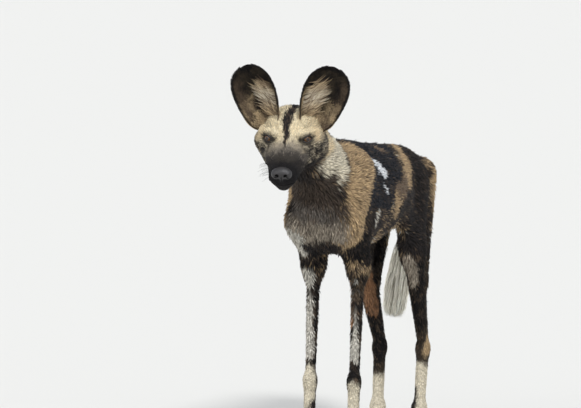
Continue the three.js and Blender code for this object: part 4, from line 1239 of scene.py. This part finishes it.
def lie(p, h):
    """The direction of the hair at each point."""
    body = np.tile([0.0, 1.0, -0.22], (len(p), 1))
    side = np.sign(p[:, 0]) * ramp(0, 40, np.abs(p[:, 0]))
    body[:, 0] = side * 0.25 * ramp(600, 690, p[:, 2]) * ramp(-330, -240, p[:, 1])
    body[:, 2] -= 0.9 * ramp(600, 500, p[:, 2]) * ramp(-120, -280, p[:, 1])
    body = laid(body, DOWN_LEG, ramp(-290, -350, p[:, 1]) * ramp(640, 560, p[:, 2]))
    fore_or_hind = np.maximum(ramp(-140, -190, p[:, 1]), ramp(70, 120, p[:, 1]))
    leg = ramp(500, 420, p[:, 2]) * fore_or_hind
    body = laid(body, DOWN_LEG, np.maximum(leg, ramp(60, 150, p[:, 1]) * 0.55))
    body = laid(body, ALONG_TOES, ramp(60, 34, p[:, 2]))
    body = laid(body, DOWN_TAIL, tail_part(p))
    u, v, w = h.T
    spread = np.clip(u / 40.0, -1, 1)
    across = spread * 0.55 + spread * 0.4 * ramp(-60, 0, v)
    rise = np.where(w > -5, 0.55 * ramp(-30, 10, v), -0.25)
    head = np.stack([across, np.ones(len(p)), rise], axis=1) @ HEAD
    return unit(laid(unit(body), unit(head), head_part(p, h)))


def sampled(points, faces, weight):
    """Roots spread over the surface, as many to the area as the weight says."""
    a, b, c = points[faces[:, 0]], points[faces[:, 1]], points[faces[:, 2]]
    area = np.linalg.norm(np.cross(b - a, c - a), axis=1) / 2
    total = np.cumsum(area * weight)
    count = int(total[-1])
    pick = np.searchsorted(total, (np.arange(count) + rng.random(count)) / count * total[-1])
    pick = np.minimum(pick, len(faces) - 1)
    r1, r2 = np.sqrt(rng.random(count)), rng.random(count)
    share = np.stack([1 - r1, r1 * (1 - r2), r1 * r2], axis=1)
    return pick, share


# Tufts to the square millimetre, and their length and width: at the paws, on the trunk, at the
# nose and at the nape.
DENSITY = (0.16, 0.078, 0.30, 0.12)
LENGTH = (6.0, 15.0, 3.2, 11.0)
WIDTH = (1.5, 2.7, 0.8, 1.9)
CHEST_LENGTH = 6.0
TAIL_LENGTH = 20.0


def tuft_density(p, h):
    body = mix(DENSITY[0], DENSITY[1], ramp(90, 470, p[:, 2]))
    face = mix(DENSITY[2], DENSITY[3], ramp(-40, 70, h[:, 1]))
    return mix(body, face, head_part(p, h))


def tuft_length(p, h):
    body = mix(LENGTH[0], LENGTH[1], ramp(30, 470, p[:, 2]))
    body = body + CHEST_LENGTH * ramp(-290, -360, p[:, 1]) * ramp(500, 590, p[:, 2])
    body = mix(body, TAIL_LENGTH, tail_part(p))
    face = mix(LENGTH[2], LENGTH[3], ramp(-60, 90, h[:, 1]))
    return mix(body, face, head_part(p, h))


def tuft_width(p, h):
    body = mix(WIDTH[0], WIDTH[1], ramp(60, 470, p[:, 2]))
    face = mix(WIDTH[2], WIDTH[3], ramp(-60, 90, h[:, 1]))
    return mix(body, face, head_part(p, h))


def bare(p):
    """True where no hair grows: the eyes, nose leather and soles."""
    none = (p[:, 2] < 2.0) | (joined(NOSE_FORM, to_head(p)) < 1.0)
    for seat in EYE_SEATS.values():
        q, out = eye_place(p, seat)
        none |= (out < 1.12) & (q[:, 2] > 0)
    return none


NOSE_FORM = [
    blob([0, -104, -36], [19, 12, 12], 0),
    *pair(lambda s: blob([11 * s, -105, -40], [11, 11, 10], 6)),
    blob([0, -106, -50], [6, 7, 10], 5),
]


# How far hairs stray from the lie, each by itself and in locks, and how far they are let up.
STRAY = 0.55
STRAY_SHARE = 0.3
LOCKS = 0.22
LONGEST_LIFT = 14.0
ROOT_DEPTH = 0.8
LOWEST_HAIR = 0.35


def make_coat(points, faces, normals):
    middle = points[faces].mean(axis=1)
    pick, share = sampled(points, faces, tuft_density(middle, to_head(middle)))
    root = np.einsum("nk,nkj->nj", share, points[faces[pick]])
    up = unit(np.einsum("nk,nkj->nj", share, normals[faces[pick]]))
    keep = ~bare(root)
    root, up = root[keep], up[keep]
    count = len(root)
    h = to_head(root)
    course = lie(root, h) + STRAY_SHARE * rng.normal(size=(count, 3)) * STRAY
    course += waves(root, 22, LOCKS, (81, 82, 83))
    flat = unit(course - up * np.sum(course * up, axis=1)[:, None])
    length = tuft_length(root, h) * rng.uniform(0.7, 1.25, count)
    depth = coat_depth(root, h)
    proud = rng.uniform(0.45, 0.95, count) + (rng.random(count) < 0.05) * 0.35
    places = [root - up * ROOT_DEPTH]
    for reach, height in ((0.5, depth * 0.55 * proud), (1.0, depth * proud)):
        over = root + flat * (length * reach)[:, None]
        places.append(raised(over, skin, height, LONGEST_LIFT))
    spines = np.stack(places, axis=1)
    spines[..., 2] = np.maximum(spines[..., 2], LOWEST_HAIR)
    jitter = np.clip(rng.normal(size=count) * 0.45, -1, 1)
    colours = coat_colour(root, jitter) * rng.uniform(0.74, 1.26, count)[:, None]
    widths = tuft_width(root, h) * rng.uniform(0.8, 1.25, count)
    coat_pieces("coat", spines, up, widths, colours, rolled_out(root, part_of(root)), SHORT_TUFT)


# Tufts on a face of an ear: their number, and where their stations stand along and over it.
EAR_TUFTS = 4600
EAR_STATIONS = ((0.0, -0.4), (0.5, 0.9), (1.0, 1.5))


def ear_tufts(name, side, face, length):
    """Short hair on one face of an ear, lying up it."""
    count = EAR_TUFTS
    hollow = face == "hollow"
    s = rng.random(count) * 0.97 if hollow else np.sqrt(rng.random(count)) * 0.985
    q = rng.uniform(-0.97, 0.97, count)
    size = length * rng.uniform(0.7, 1.25, count)
    ds = size / EAR_LENGTH * rng.uniform(0.7, 1.0, count)
    dq = rng.normal(size=count) * 0.03 + (np.sign(q) * 0.03 if hollow else 0.0)
    stations = []
    for t, lift in EAR_STATIONS:
        height = {"inside": lift - SKIN_IN} if hollow else {"back": SKIN_IN - lift}
        at_s, at_q = np.minimum(s + ds * t, 1.0), np.clip(q + dq * t, -1, 1)
        stations.append(ear_point(side, at_s, at_q, **height))
    forward = unit(ear_point(side, s, q, back=6.0) - ear_point(side, s, q, back=0.0))
    up = forward if hollow else -forward
    jitter = np.clip(rng.normal(size=count) * 0.4, -1, 1)
    flags = np.full(count, hollow)
    colours = ear_colour(stations[0], s, q, flags, jitter) * rng.uniform(0.8, 1.2, count)[:, None]
    widths = rng.uniform(1.0, 1.7, count)
    places = ear_sheet(side, s, q, flags)
    spines = np.stack(stations, axis=1)
    coat_pieces(f"ear_{face}_{name}", spines, up, widths, colours, places, SHORT_TUFT)


def make_ear_coat():
    for name, side in SIDES.items():
        ear_tufts(name, side, "back", 8.0)
        ear_tufts(name, side, "hollow", 6.5)


# The pale hair: how many, and how far up, across and over the hollow its stations stand.
EAR_HAIR = {"count": 460, "low": 0.1, "high": 0.66}
EAR_HAIR_STATIONS = (
    (0.0, 0.0, -0.5),
    (0.02, 0.22, 3.5),
    (0.05, 0.45, 6.0),
    (0.1, 0.7, 5.0),
    (0.15, 0.9, 3.0),
)


def make_ear_hair():
    """Long pale hair from inside the edge next to the midline, lying across the hollow."""
    for name, side in SIDES.items():
        count = EAR_HAIR["count"]
        s = np.clip(rng.normal(0.35, 0.13, count), EAR_HAIR["low"], EAR_HAIR["high"])
        root = rng.uniform(0.36, 0.84, count)
        sweep = rng.uniform(0.3, 0.85, count)
        droop = rng.uniform(0.7, 1.4, count)
        spines = np.stack([
            ear_point(side, s + ds * droop, root - dq * sweep, inside=lift * droop)
            for ds, dq, lift in EAR_HAIR_STATIONS
        ], axis=1)
        ups = np.tile(ear_axes(side)[1] @ HEAD, (count, 1))
        shade = ramp(0.1, 0.9, rng.random(count))
        heart = np.exp(-((s - 0.38) / 0.14) ** 2)
        colours = laid(laid(BROWN, SAND, shade), CREAM, heart * shade)
        widths = rng.uniform(0.9, 1.8, count)
        places = ear_sheet(side, s, root, np.ones(count, bool))
        coat_pieces(f"ear_hair_{name}", spines, ups, widths, colours, places, LONG_TUFT)


FRINGE = 900


def make_ear_fringe():
    """Short hair round the rim, which softens its outline."""
    for name, side in SIDES.items():
        turn = rng.random(FRINGE)
        s = np.sin(np.where(turn < 0.5, turn * 2, (1 - turn) * 2) * math.pi / 2) * 0.98
        q = np.where(turn < 0.5, 0.97, -0.97)
        out = rng.uniform(2.0, 6.0, FRINGE)
        edge = ear_point(side, s, q, back=EAR_THICK * 0.45)
        inner = ear_point(side, s * 0.97, q * 0.9, back=EAR_THICK * 0.45)
        up, front, _ = ear_axes(side)
        tip = edge + (unit(edge - inner) * 0.6 + up @ HEAD * 0.6) * out[:, None]
        middle = mix(edge, tip, 0.5) + rng.normal(size=(FRINGE, 3)) * 0.3
        spines = np.stack([inner, middle, tip], axis=1)
        ups = np.tile(front @ HEAD, (FRINGE, 1))
        colours = laid(SOOT, SAND, ramp(0.3, 0.05, s) * 0.8)
        places = ear_sheet(side, s, q, np.zeros(FRINGE, bool))
        widths = rng.uniform(0.8, 1.4, FRINGE)
        coat_pieces(f"ear_fringe_{name}", spines, ups, widths, colours, places, SHORT_TUFT)


# The tail's hair: how many, and how far along and out its stations stand.
BRUSH = 2600
BRUSH_STATIONS = ((0.0, 0.0), (0.25, 0.5), (0.5, 0.9), (0.75, 1.0), (1.0, 0.7))


def tail_at(t):
    """Place, direction, flesh radius and hair reach at a station of the tail."""
    i = np.clip(np.floor(t).astype(int), 0, len(TAIL) - 2)
    place = mix(TAIL[i], TAIL[i + 1], (t - i)[:, None])
    down = unit(TAIL[i + 1, :3] - TAIL[i, :3])
    return place[:, :3], down, place[:, 3], place[:, 4]


def make_brush():
    """Long hair of the tail, from its middle to the tip."""
    t = mix(1.6, 5.98, rng.random(BRUSH) ** 0.8)
    turn = rng.random(BRUSH) * 2 * math.pi
    at, down, core, reach = tail_at(t)
    first = unit(np.cross(down, np.tile([1.0, 0.02, 0.01], (BRUSH, 1))))
    second = np.cross(down, first)
    out = first * np.cos(turn)[:, None] + second * np.sin(turn)[:, None]
    length = mix(34, 84, ramp(1.6, 4.0, t)) * rng.uniform(0.75, 1.1, BRUSH)
    room = np.maximum(at[:, 2] - TAIL_END, 16)
    length = np.minimum(length, room * rng.uniform(0.55, 1.0, BRUSH))
    wide = np.minimum(reach * rng.uniform(0.3, 1.0, BRUSH), core + 2 + 0.3 * length)
    spines = np.stack([
        at + down * (length * share)[:, None] + out * mix(core * 0.7, wide, away)[:, None]
        for share, away in BRUSH_STATIONS
    ], axis=1)
    jitter = np.clip(rng.normal(size=BRUSH) * 0.4, -1, 1)
    colours = tail_colour(spines[:, 0], jitter) * rng.uniform(0.85, 1.15, BRUSH)[:, None]
    widths = rng.uniform(2.2, 3.8, BRUSH)
    places = rolled_out(at, np.full(BRUSH, TAIL_SQUARE))
    coat_pieces("tail_hair", spines, out, widths, colours, places, BRUSH_TUFT)


# The eyeballs: their mesh, the bulge in front, and their colours.
EYE_RINGS = 48
EYE_AROUND = 56
EYE_BULGE = 0.7
IRIS_HEART = linear(56, 36, 20)
IRIS = linear(118, 82, 44)
IRIS_RIM = linear(40, 24, 14)
EYE_WHITE = linear(46, 34, 28)
PUPIL = linear(4, 4, 5)


def eye_colour(angle, turn):
    """Pupil, streaked iris and dark white, by the angle from the middle of the gaze."""
    streak = 0.5 + 0.5 * np.sin(turn * 23 + 2 * np.sin(turn * 7))
    colour = laid(IRIS_HEART, IRIS, streak * ramp(0.22, 0.5, angle))
    colour = laid(colour, IRIS_RIM, ramp(0.58, 0.7, angle))
    colour = laid(colour, EYE_WHITE, ramp(0.68, 0.74, angle))
    return laid(colour, PUPIL, ramp(0.27, 0.235, angle))


def make_eyes():
    angle = np.linspace(0, math.pi, EYE_RINGS + 1)[1:-1]
    a, b = flat_grid(angle, np.linspace(0, 2 * math.pi, EYE_AROUND, endpoint=False))
    bulge = EYE_RADIUS + EYE_BULGE * ramp(0.72, 0.2, a)
    ball = np.stack([np.sin(a) * np.cos(b), np.sin(a) * np.sin(b), np.cos(a)], 1)
    poles = np.array([[0, 0, EYE_RADIUS + EYE_BULGE], [0, 0, -EYE_RADIUS]])
    local = np.concatenate([ball * bulge[:, None], poles])
    around = np.arange(EYE_AROUND)
    after = (around + 1) % EYE_AROUND
    faces = []
    for start in range(0, (EYE_RINGS - 2) * EYE_AROUND, EYE_AROUND):
        here, side = start + around, start + after
        faces.append(np.stack([here, here + EYE_AROUND, side + EYE_AROUND], 1))
        faces.append(np.stack([here, side + EYE_AROUND, side], 1))
    top = np.full(EYE_AROUND, len(ball))
    last = (EYE_RINGS - 2) * EYE_AROUND
    faces.append(np.stack([top, around, after], 1))
    faces.append(np.stack([top + 1, last + after, last + around], 1))
    faces = np.concatenate(faces)
    colour = eye_colour(np.append(a, [0.0, math.pi]), np.append(b, [0.0, 0.0]))
    for name, seat in EYE_SEATS.items():
        points = from_head(local @ seat["axes"] + seat["centre"])
        made = piece(f"eyeball_{name}", points, faces, colour, "eye", "eye")
        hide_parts(f"eye_{name}")


GUIDE = np.array([0.31, 0.52, 0.79])


def tube(path, radii, sides, closed=False):
    """A round tube along a path, its ends closed unless the path is."""
    count = len(path)
    tangent = np.roll(path, -1, axis=0) - np.roll(path, 1, axis=0)
    if not closed:
        tangent[0] = path[1] - path[0]
        tangent[-1] = path[-1] - path[-2]
    tangent = unit(tangent)
    first = unit(np.cross(tangent, GUIDE))[:, None]
    second = np.cross(tangent, first[:, 0])[:, None]
    turn = (2 * math.pi * np.arange(sides) / sides)[None, :, None]
    ring = first * np.cos(turn) + second * np.sin(turn)
    points = (path[:, None] + ring * np.array(radii)[:, None, None]).reshape(-1, 3)
    around = np.arange(sides)
    after = (around + 1) % sides
    faces = []
    for i in range(count if closed else count - 1):
        here, ahead = i * sides, ((i + 1) % count) * sides
        faces.append(np.stack([here + around, here + after, ahead + after], 1))
        faces.append(np.stack([here + around, ahead + after, ahead + around], 1))
    if not closed:
        end = (count - 1) * sides
        for i in range(1, sides - 1):
            faces.append(np.array([[0, i + 1, i], [end, end + i, end + i + 1]]))
    return points, np.concatenate(faces)


def plain_piece(name, meshes, colour, look, slot):
    """Meshes as one piece of a single colour."""
    points, faces = gathered(meshes)
    piece(name, points, faces, np.repeat(colour[None], len(points), axis=0), look, slot)


# The dark edge of a lid: its size beside the almond, its height on the eye and its thickness.
RIM = {"scale": 1.02, "height": 0.5, "upper": 1.5, "lower": 1.15, "colour": linear(24, 20, 19)}


def make_lids():
    """The dark edges of the lids, lying on each eye."""
    rims = []
    for seat in EYE_SEATS.values():
        edge = almond(seat["side"], 72) * RIM["scale"]
        far = np.hypot(edge[:, 0], edge[:, 1])
        height = np.sqrt(np.maximum((EYE_RADIUS + RIM["height"]) ** 2 - far ** 2, 30.0))
        path = from_head(np.c_[edge, height] @ seat["axes"] + seat["centre"])
        thick = np.where(edge[:, 1] > 0, RIM["upper"], RIM["lower"])
        rims.append(tube(path, thick, 8, closed=True))
    plain_piece("lid_edges", rims, RIM["colour"], "leather", "nose_leather")


def make_lashes():
    hairs = []
    for seat in EYE_SEATS.values():
        edge = almond(seat["side"])
        for x, y in edge[edge[:, 1] > 2.0]:
            height = math.sqrt(max((EYE_RADIUS + 1.2) ** 2 - math.hypot(x, y) ** 2, 34.0))
            start = np.array([x, y + 0.6, height])
            length = rng.uniform(4.0, 6.5)
            path = np.array([
                start + np.array([x * 0.06 * t, 0.25 * t * t * length, t * length * (1 - 0.35 * t)])
                for t in np.linspace(0, 1, 5)
            ])
            path = from_head(path @ seat["axes"] + seat["centre"])
            hairs.append(tube(path, [0.28, 0.25, 0.2, 0.14, 0.05], 4))
    plain_piece("lashes", hairs, BLACK, "fur", "coat")


def long_hair(place, out, length, bend, sunk, radii):
    """A tapered hair in the head's axes, its root sunk a little and its tip bent."""
    path = [
        place + out * length * t + np.array(bend) * length * t * t
        for t in np.linspace(-sunk, 1, len(radii))
    ]
    return tube(from_head(np.array(path)), radii, 4)


def make_whiskers():
    """Four rows of whiskers on each side of the muzzle, and five hairs over each eye."""
    hairs = []
    for side in SIDES.values():
        for row in range(4):
            for column in range(5):
                v = -88 + 13 * column + rng.uniform(-2, 2)
                w = -36 - 6.2 * row + rng.uniform(-1, 1)
                place = to_head(drawn(from_head([[side * 30, v, w]]), skin, 8))[0]
                length = mix(20, 44, column / 4) * rng.uniform(0.8, 1.15)
                out = np.array([side * 0.8, 0.55 + 0.1 * column, -0.25 - 0.05 * row])
                out = unit(out + rng.normal(size=3) * 0.08)
                radii = np.linspace(0.34, 0.08, 8)
                hairs.append(long_hair(place, out, length, [0, 0.18, -0.28], 0.04, radii))
        for k in range(5):
            at = [side * (34 + 3 * k), 6 + 2 * k, 22 + rng.uniform(-1, 1)]
            place = to_head(drawn(from_head([at]), skin, 10))[0]
            out = unit(np.array([side * 0.35, -0.2, 1.0]) + rng.normal(size=3) * 0.1)
            length = rng.uniform(14, 24)
            hairs.append(long_hair(place, out, length, [0, 0.4, 0], 0.05, np.linspace(0.3, 0.07, 7)))
    plain_piece("whiskers", hairs, BLACK, "fur", "coat")


def nose_form(h):
    """The nose leather, with its nostrils and the groove below them."""
    d = joined(NOSE_FORM, h)
    for side in SIDES.values():
        hole = joined([
            blob([9.0 * side, -118, -39.5], [4.4, 9, 3.9], 0),
            bar([10 * side, -116, -41.5], [17 * side, -110, -45.5], 2.1, 1.5, 2.5),
        ], h)
        d = -join(-d, hole, 1.6)
    groove = np.exp(-(h[:, 0] / 1.2) ** 2) * ramp(-38, -43, h[:, 2]) * ramp(-104, -110, h[:, 1])
    return d + 1.3 * groove


NOSE_CELL = 0.9
NOSE_LOW = [-34, -134, -72]
NOSE_HIGH = [34, -84, -16]


def make_nose():
    points, faces = surface(nose_form, NOSE_LOW, NOSE_HIGH, NOSE_CELL)
    points = drawn(points, nose_form, longest=1.0)
    points = drawn(relaxed(points, faces), nose_form, longest=1.0)
    # Darker with depth into the nostrils: painted shade in the holes.
    nostril_painted_shade = ramp(-0.4, -3.5, joined(NOSE_FORM, points))
    colours = laid(linear(34, 32, 33), linear(6, 5, 6), nostril_painted_shade)
    made = piece("nose_pad", from_head(points), faces, colours, "leather", "nose_leather")
    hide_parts("nose")


CLAW_LENGTH = 16.0
CLAW_RADIUS = 3.3
CLAW_DROP = 6.0
CLAW_IN = 0.96
CLAW_TAPER = 0.62


def make_claws():
    t = np.linspace(0, 1, 12)
    radii = CLAW_RADIUS * CLAW_IN * (1 - CLAW_TAPER * t) * np.sqrt(np.maximum(1 - t ** 6, 0.02))
    bend = np.stack([0 * t, -t * CLAW_LENGTH, -CLAW_DROP * t * t], axis=1)
    for kind in ("fore", "hind"):
        for name, side in SIDES.items():
            joints = FORELEG if kind == "fore" else hind_leg(name)
            paw = np.array(joints["paw"], float) * [side, 1, 1]
            roots = [paw + [x, y - 4, TOE_Z + 3] for x, y, _ in TOES]
            points, faces = gathered([tube(root + bend, radii, 12) for root in roots])
            tone = ramp(-0.5, 0.8, noise(points, 5, 91))
            colours = laid(linear(38, 32, 29), linear(74, 63, 54), tone)
            made = piece(f"claws_{kind}_{name}", points, faces, colours, "claw", "claw")
            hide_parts(*[f"claw_{kind}_{name}_{n}" for n in range(1, 5)])


# Camera: the photograph's angle and framing.
CAMERA = {"azimuth": 18.0, "elevation": 5.0, "distance": 12.0, "lens": 338.7}
TARGET = np.array([0.0, -100.0, 560.0])
AIM_RIGHT = -137.0
AIM_UP = -13.0


def make_camera():
    a, e = math.radians(CAMERA["azimuth"]), math.radians(CAMERA["elevation"])
    back = Vector((math.sin(a) * math.cos(e), -math.cos(a) * math.cos(e), math.sin(e)))
    right = Vector((math.cos(a), math.sin(a), 0))
    up = back.cross(right)
    target = Vector((TARGET + ORIGIN) / MM)
    aim = target + right * (AIM_RIGHT / MM) + up * (AIM_UP / MM)
    data = bpy.data.cameras.new("camera")
    data.sensor_width = 36.0
    data.lens = CAMERA["lens"]
    data.clip_end = 200.0
    camera = bpy.data.objects.new("camera", data)
    camera.location = aim + back * CAMERA["distance"]
    camera.rotation_mode = "QUATERNION"
    camera.rotation_quaternion = (-back).to_track_quat("-Z", "Y")
    bpy.context.scene.collection.objects.link(camera)
    bpy.context.scene.camera = camera


FLOOR_RADIUS = 90.0
FLOOR_SIDES = 64


def make_floor():
    turn = np.linspace(0, 2 * math.pi, FLOOR_SIDES, endpoint=False)
    mesh = bpy.data.meshes.new("floor")
    rim = [(math.cos(t) * FLOOR_RADIUS, math.sin(t) * FLOOR_RADIUS, 0.0) for t in turn]
    mesh.from_pydata(rim, [], [list(range(FLOOR_SIDES))])
    mesh.materials.append(material("floor_paper", linear(214, 213, 209), 0.9, 0.1)[0])
    floor = bpy.data.objects.new("floor", mesh)
    bpy.context.scene.collection.objects.link(floor)


# The light: a pale sky, a key sun and a broad fill, each sun with strength, spread and place.
SKY = (0.92, 0.95, 1.0, 1.0)
SKY_STRENGTH = 0.8
SUNS = {"key": (2.0, 12.0, (0.7, -0.75, 0.95)), "fill": (1.4, 80.0, (-0.25, -1.0, 0.3))}


def make_light():
    world = bpy.data.worlds.new("studio")
    world.use_nodes = True
    sky = world.node_tree.nodes["Background"]
    sky.inputs["Color"].default_value = SKY
    sky.inputs["Strength"].default_value = SKY_STRENGTH
    bpy.context.scene.world = world
    for name, (strength, spread, place) in SUNS.items():
        data = bpy.data.lights.new(name, "SUN")
        data.energy = strength
        data.angle = math.radians(spread)
        sun = bpy.data.objects.new(name, data)
        sun.rotation_mode = "QUATERNION"
        sun.rotation_quaternion = Vector(place).to_track_quat("Z", "Y")
        bpy.context.scene.collection.objects.link(sun)
    bpy.context.scene.view_settings.view_transform = "Standard"


body = make_skin()
make_coat(*body)
make_ear_coat()
make_ear_hair()
make_ear_fringe()
make_brush()
make_eyes()
make_lids()
make_lashes()
make_whiskers()
make_nose()
make_claws()
make_camera()
make_floor()
make_light()
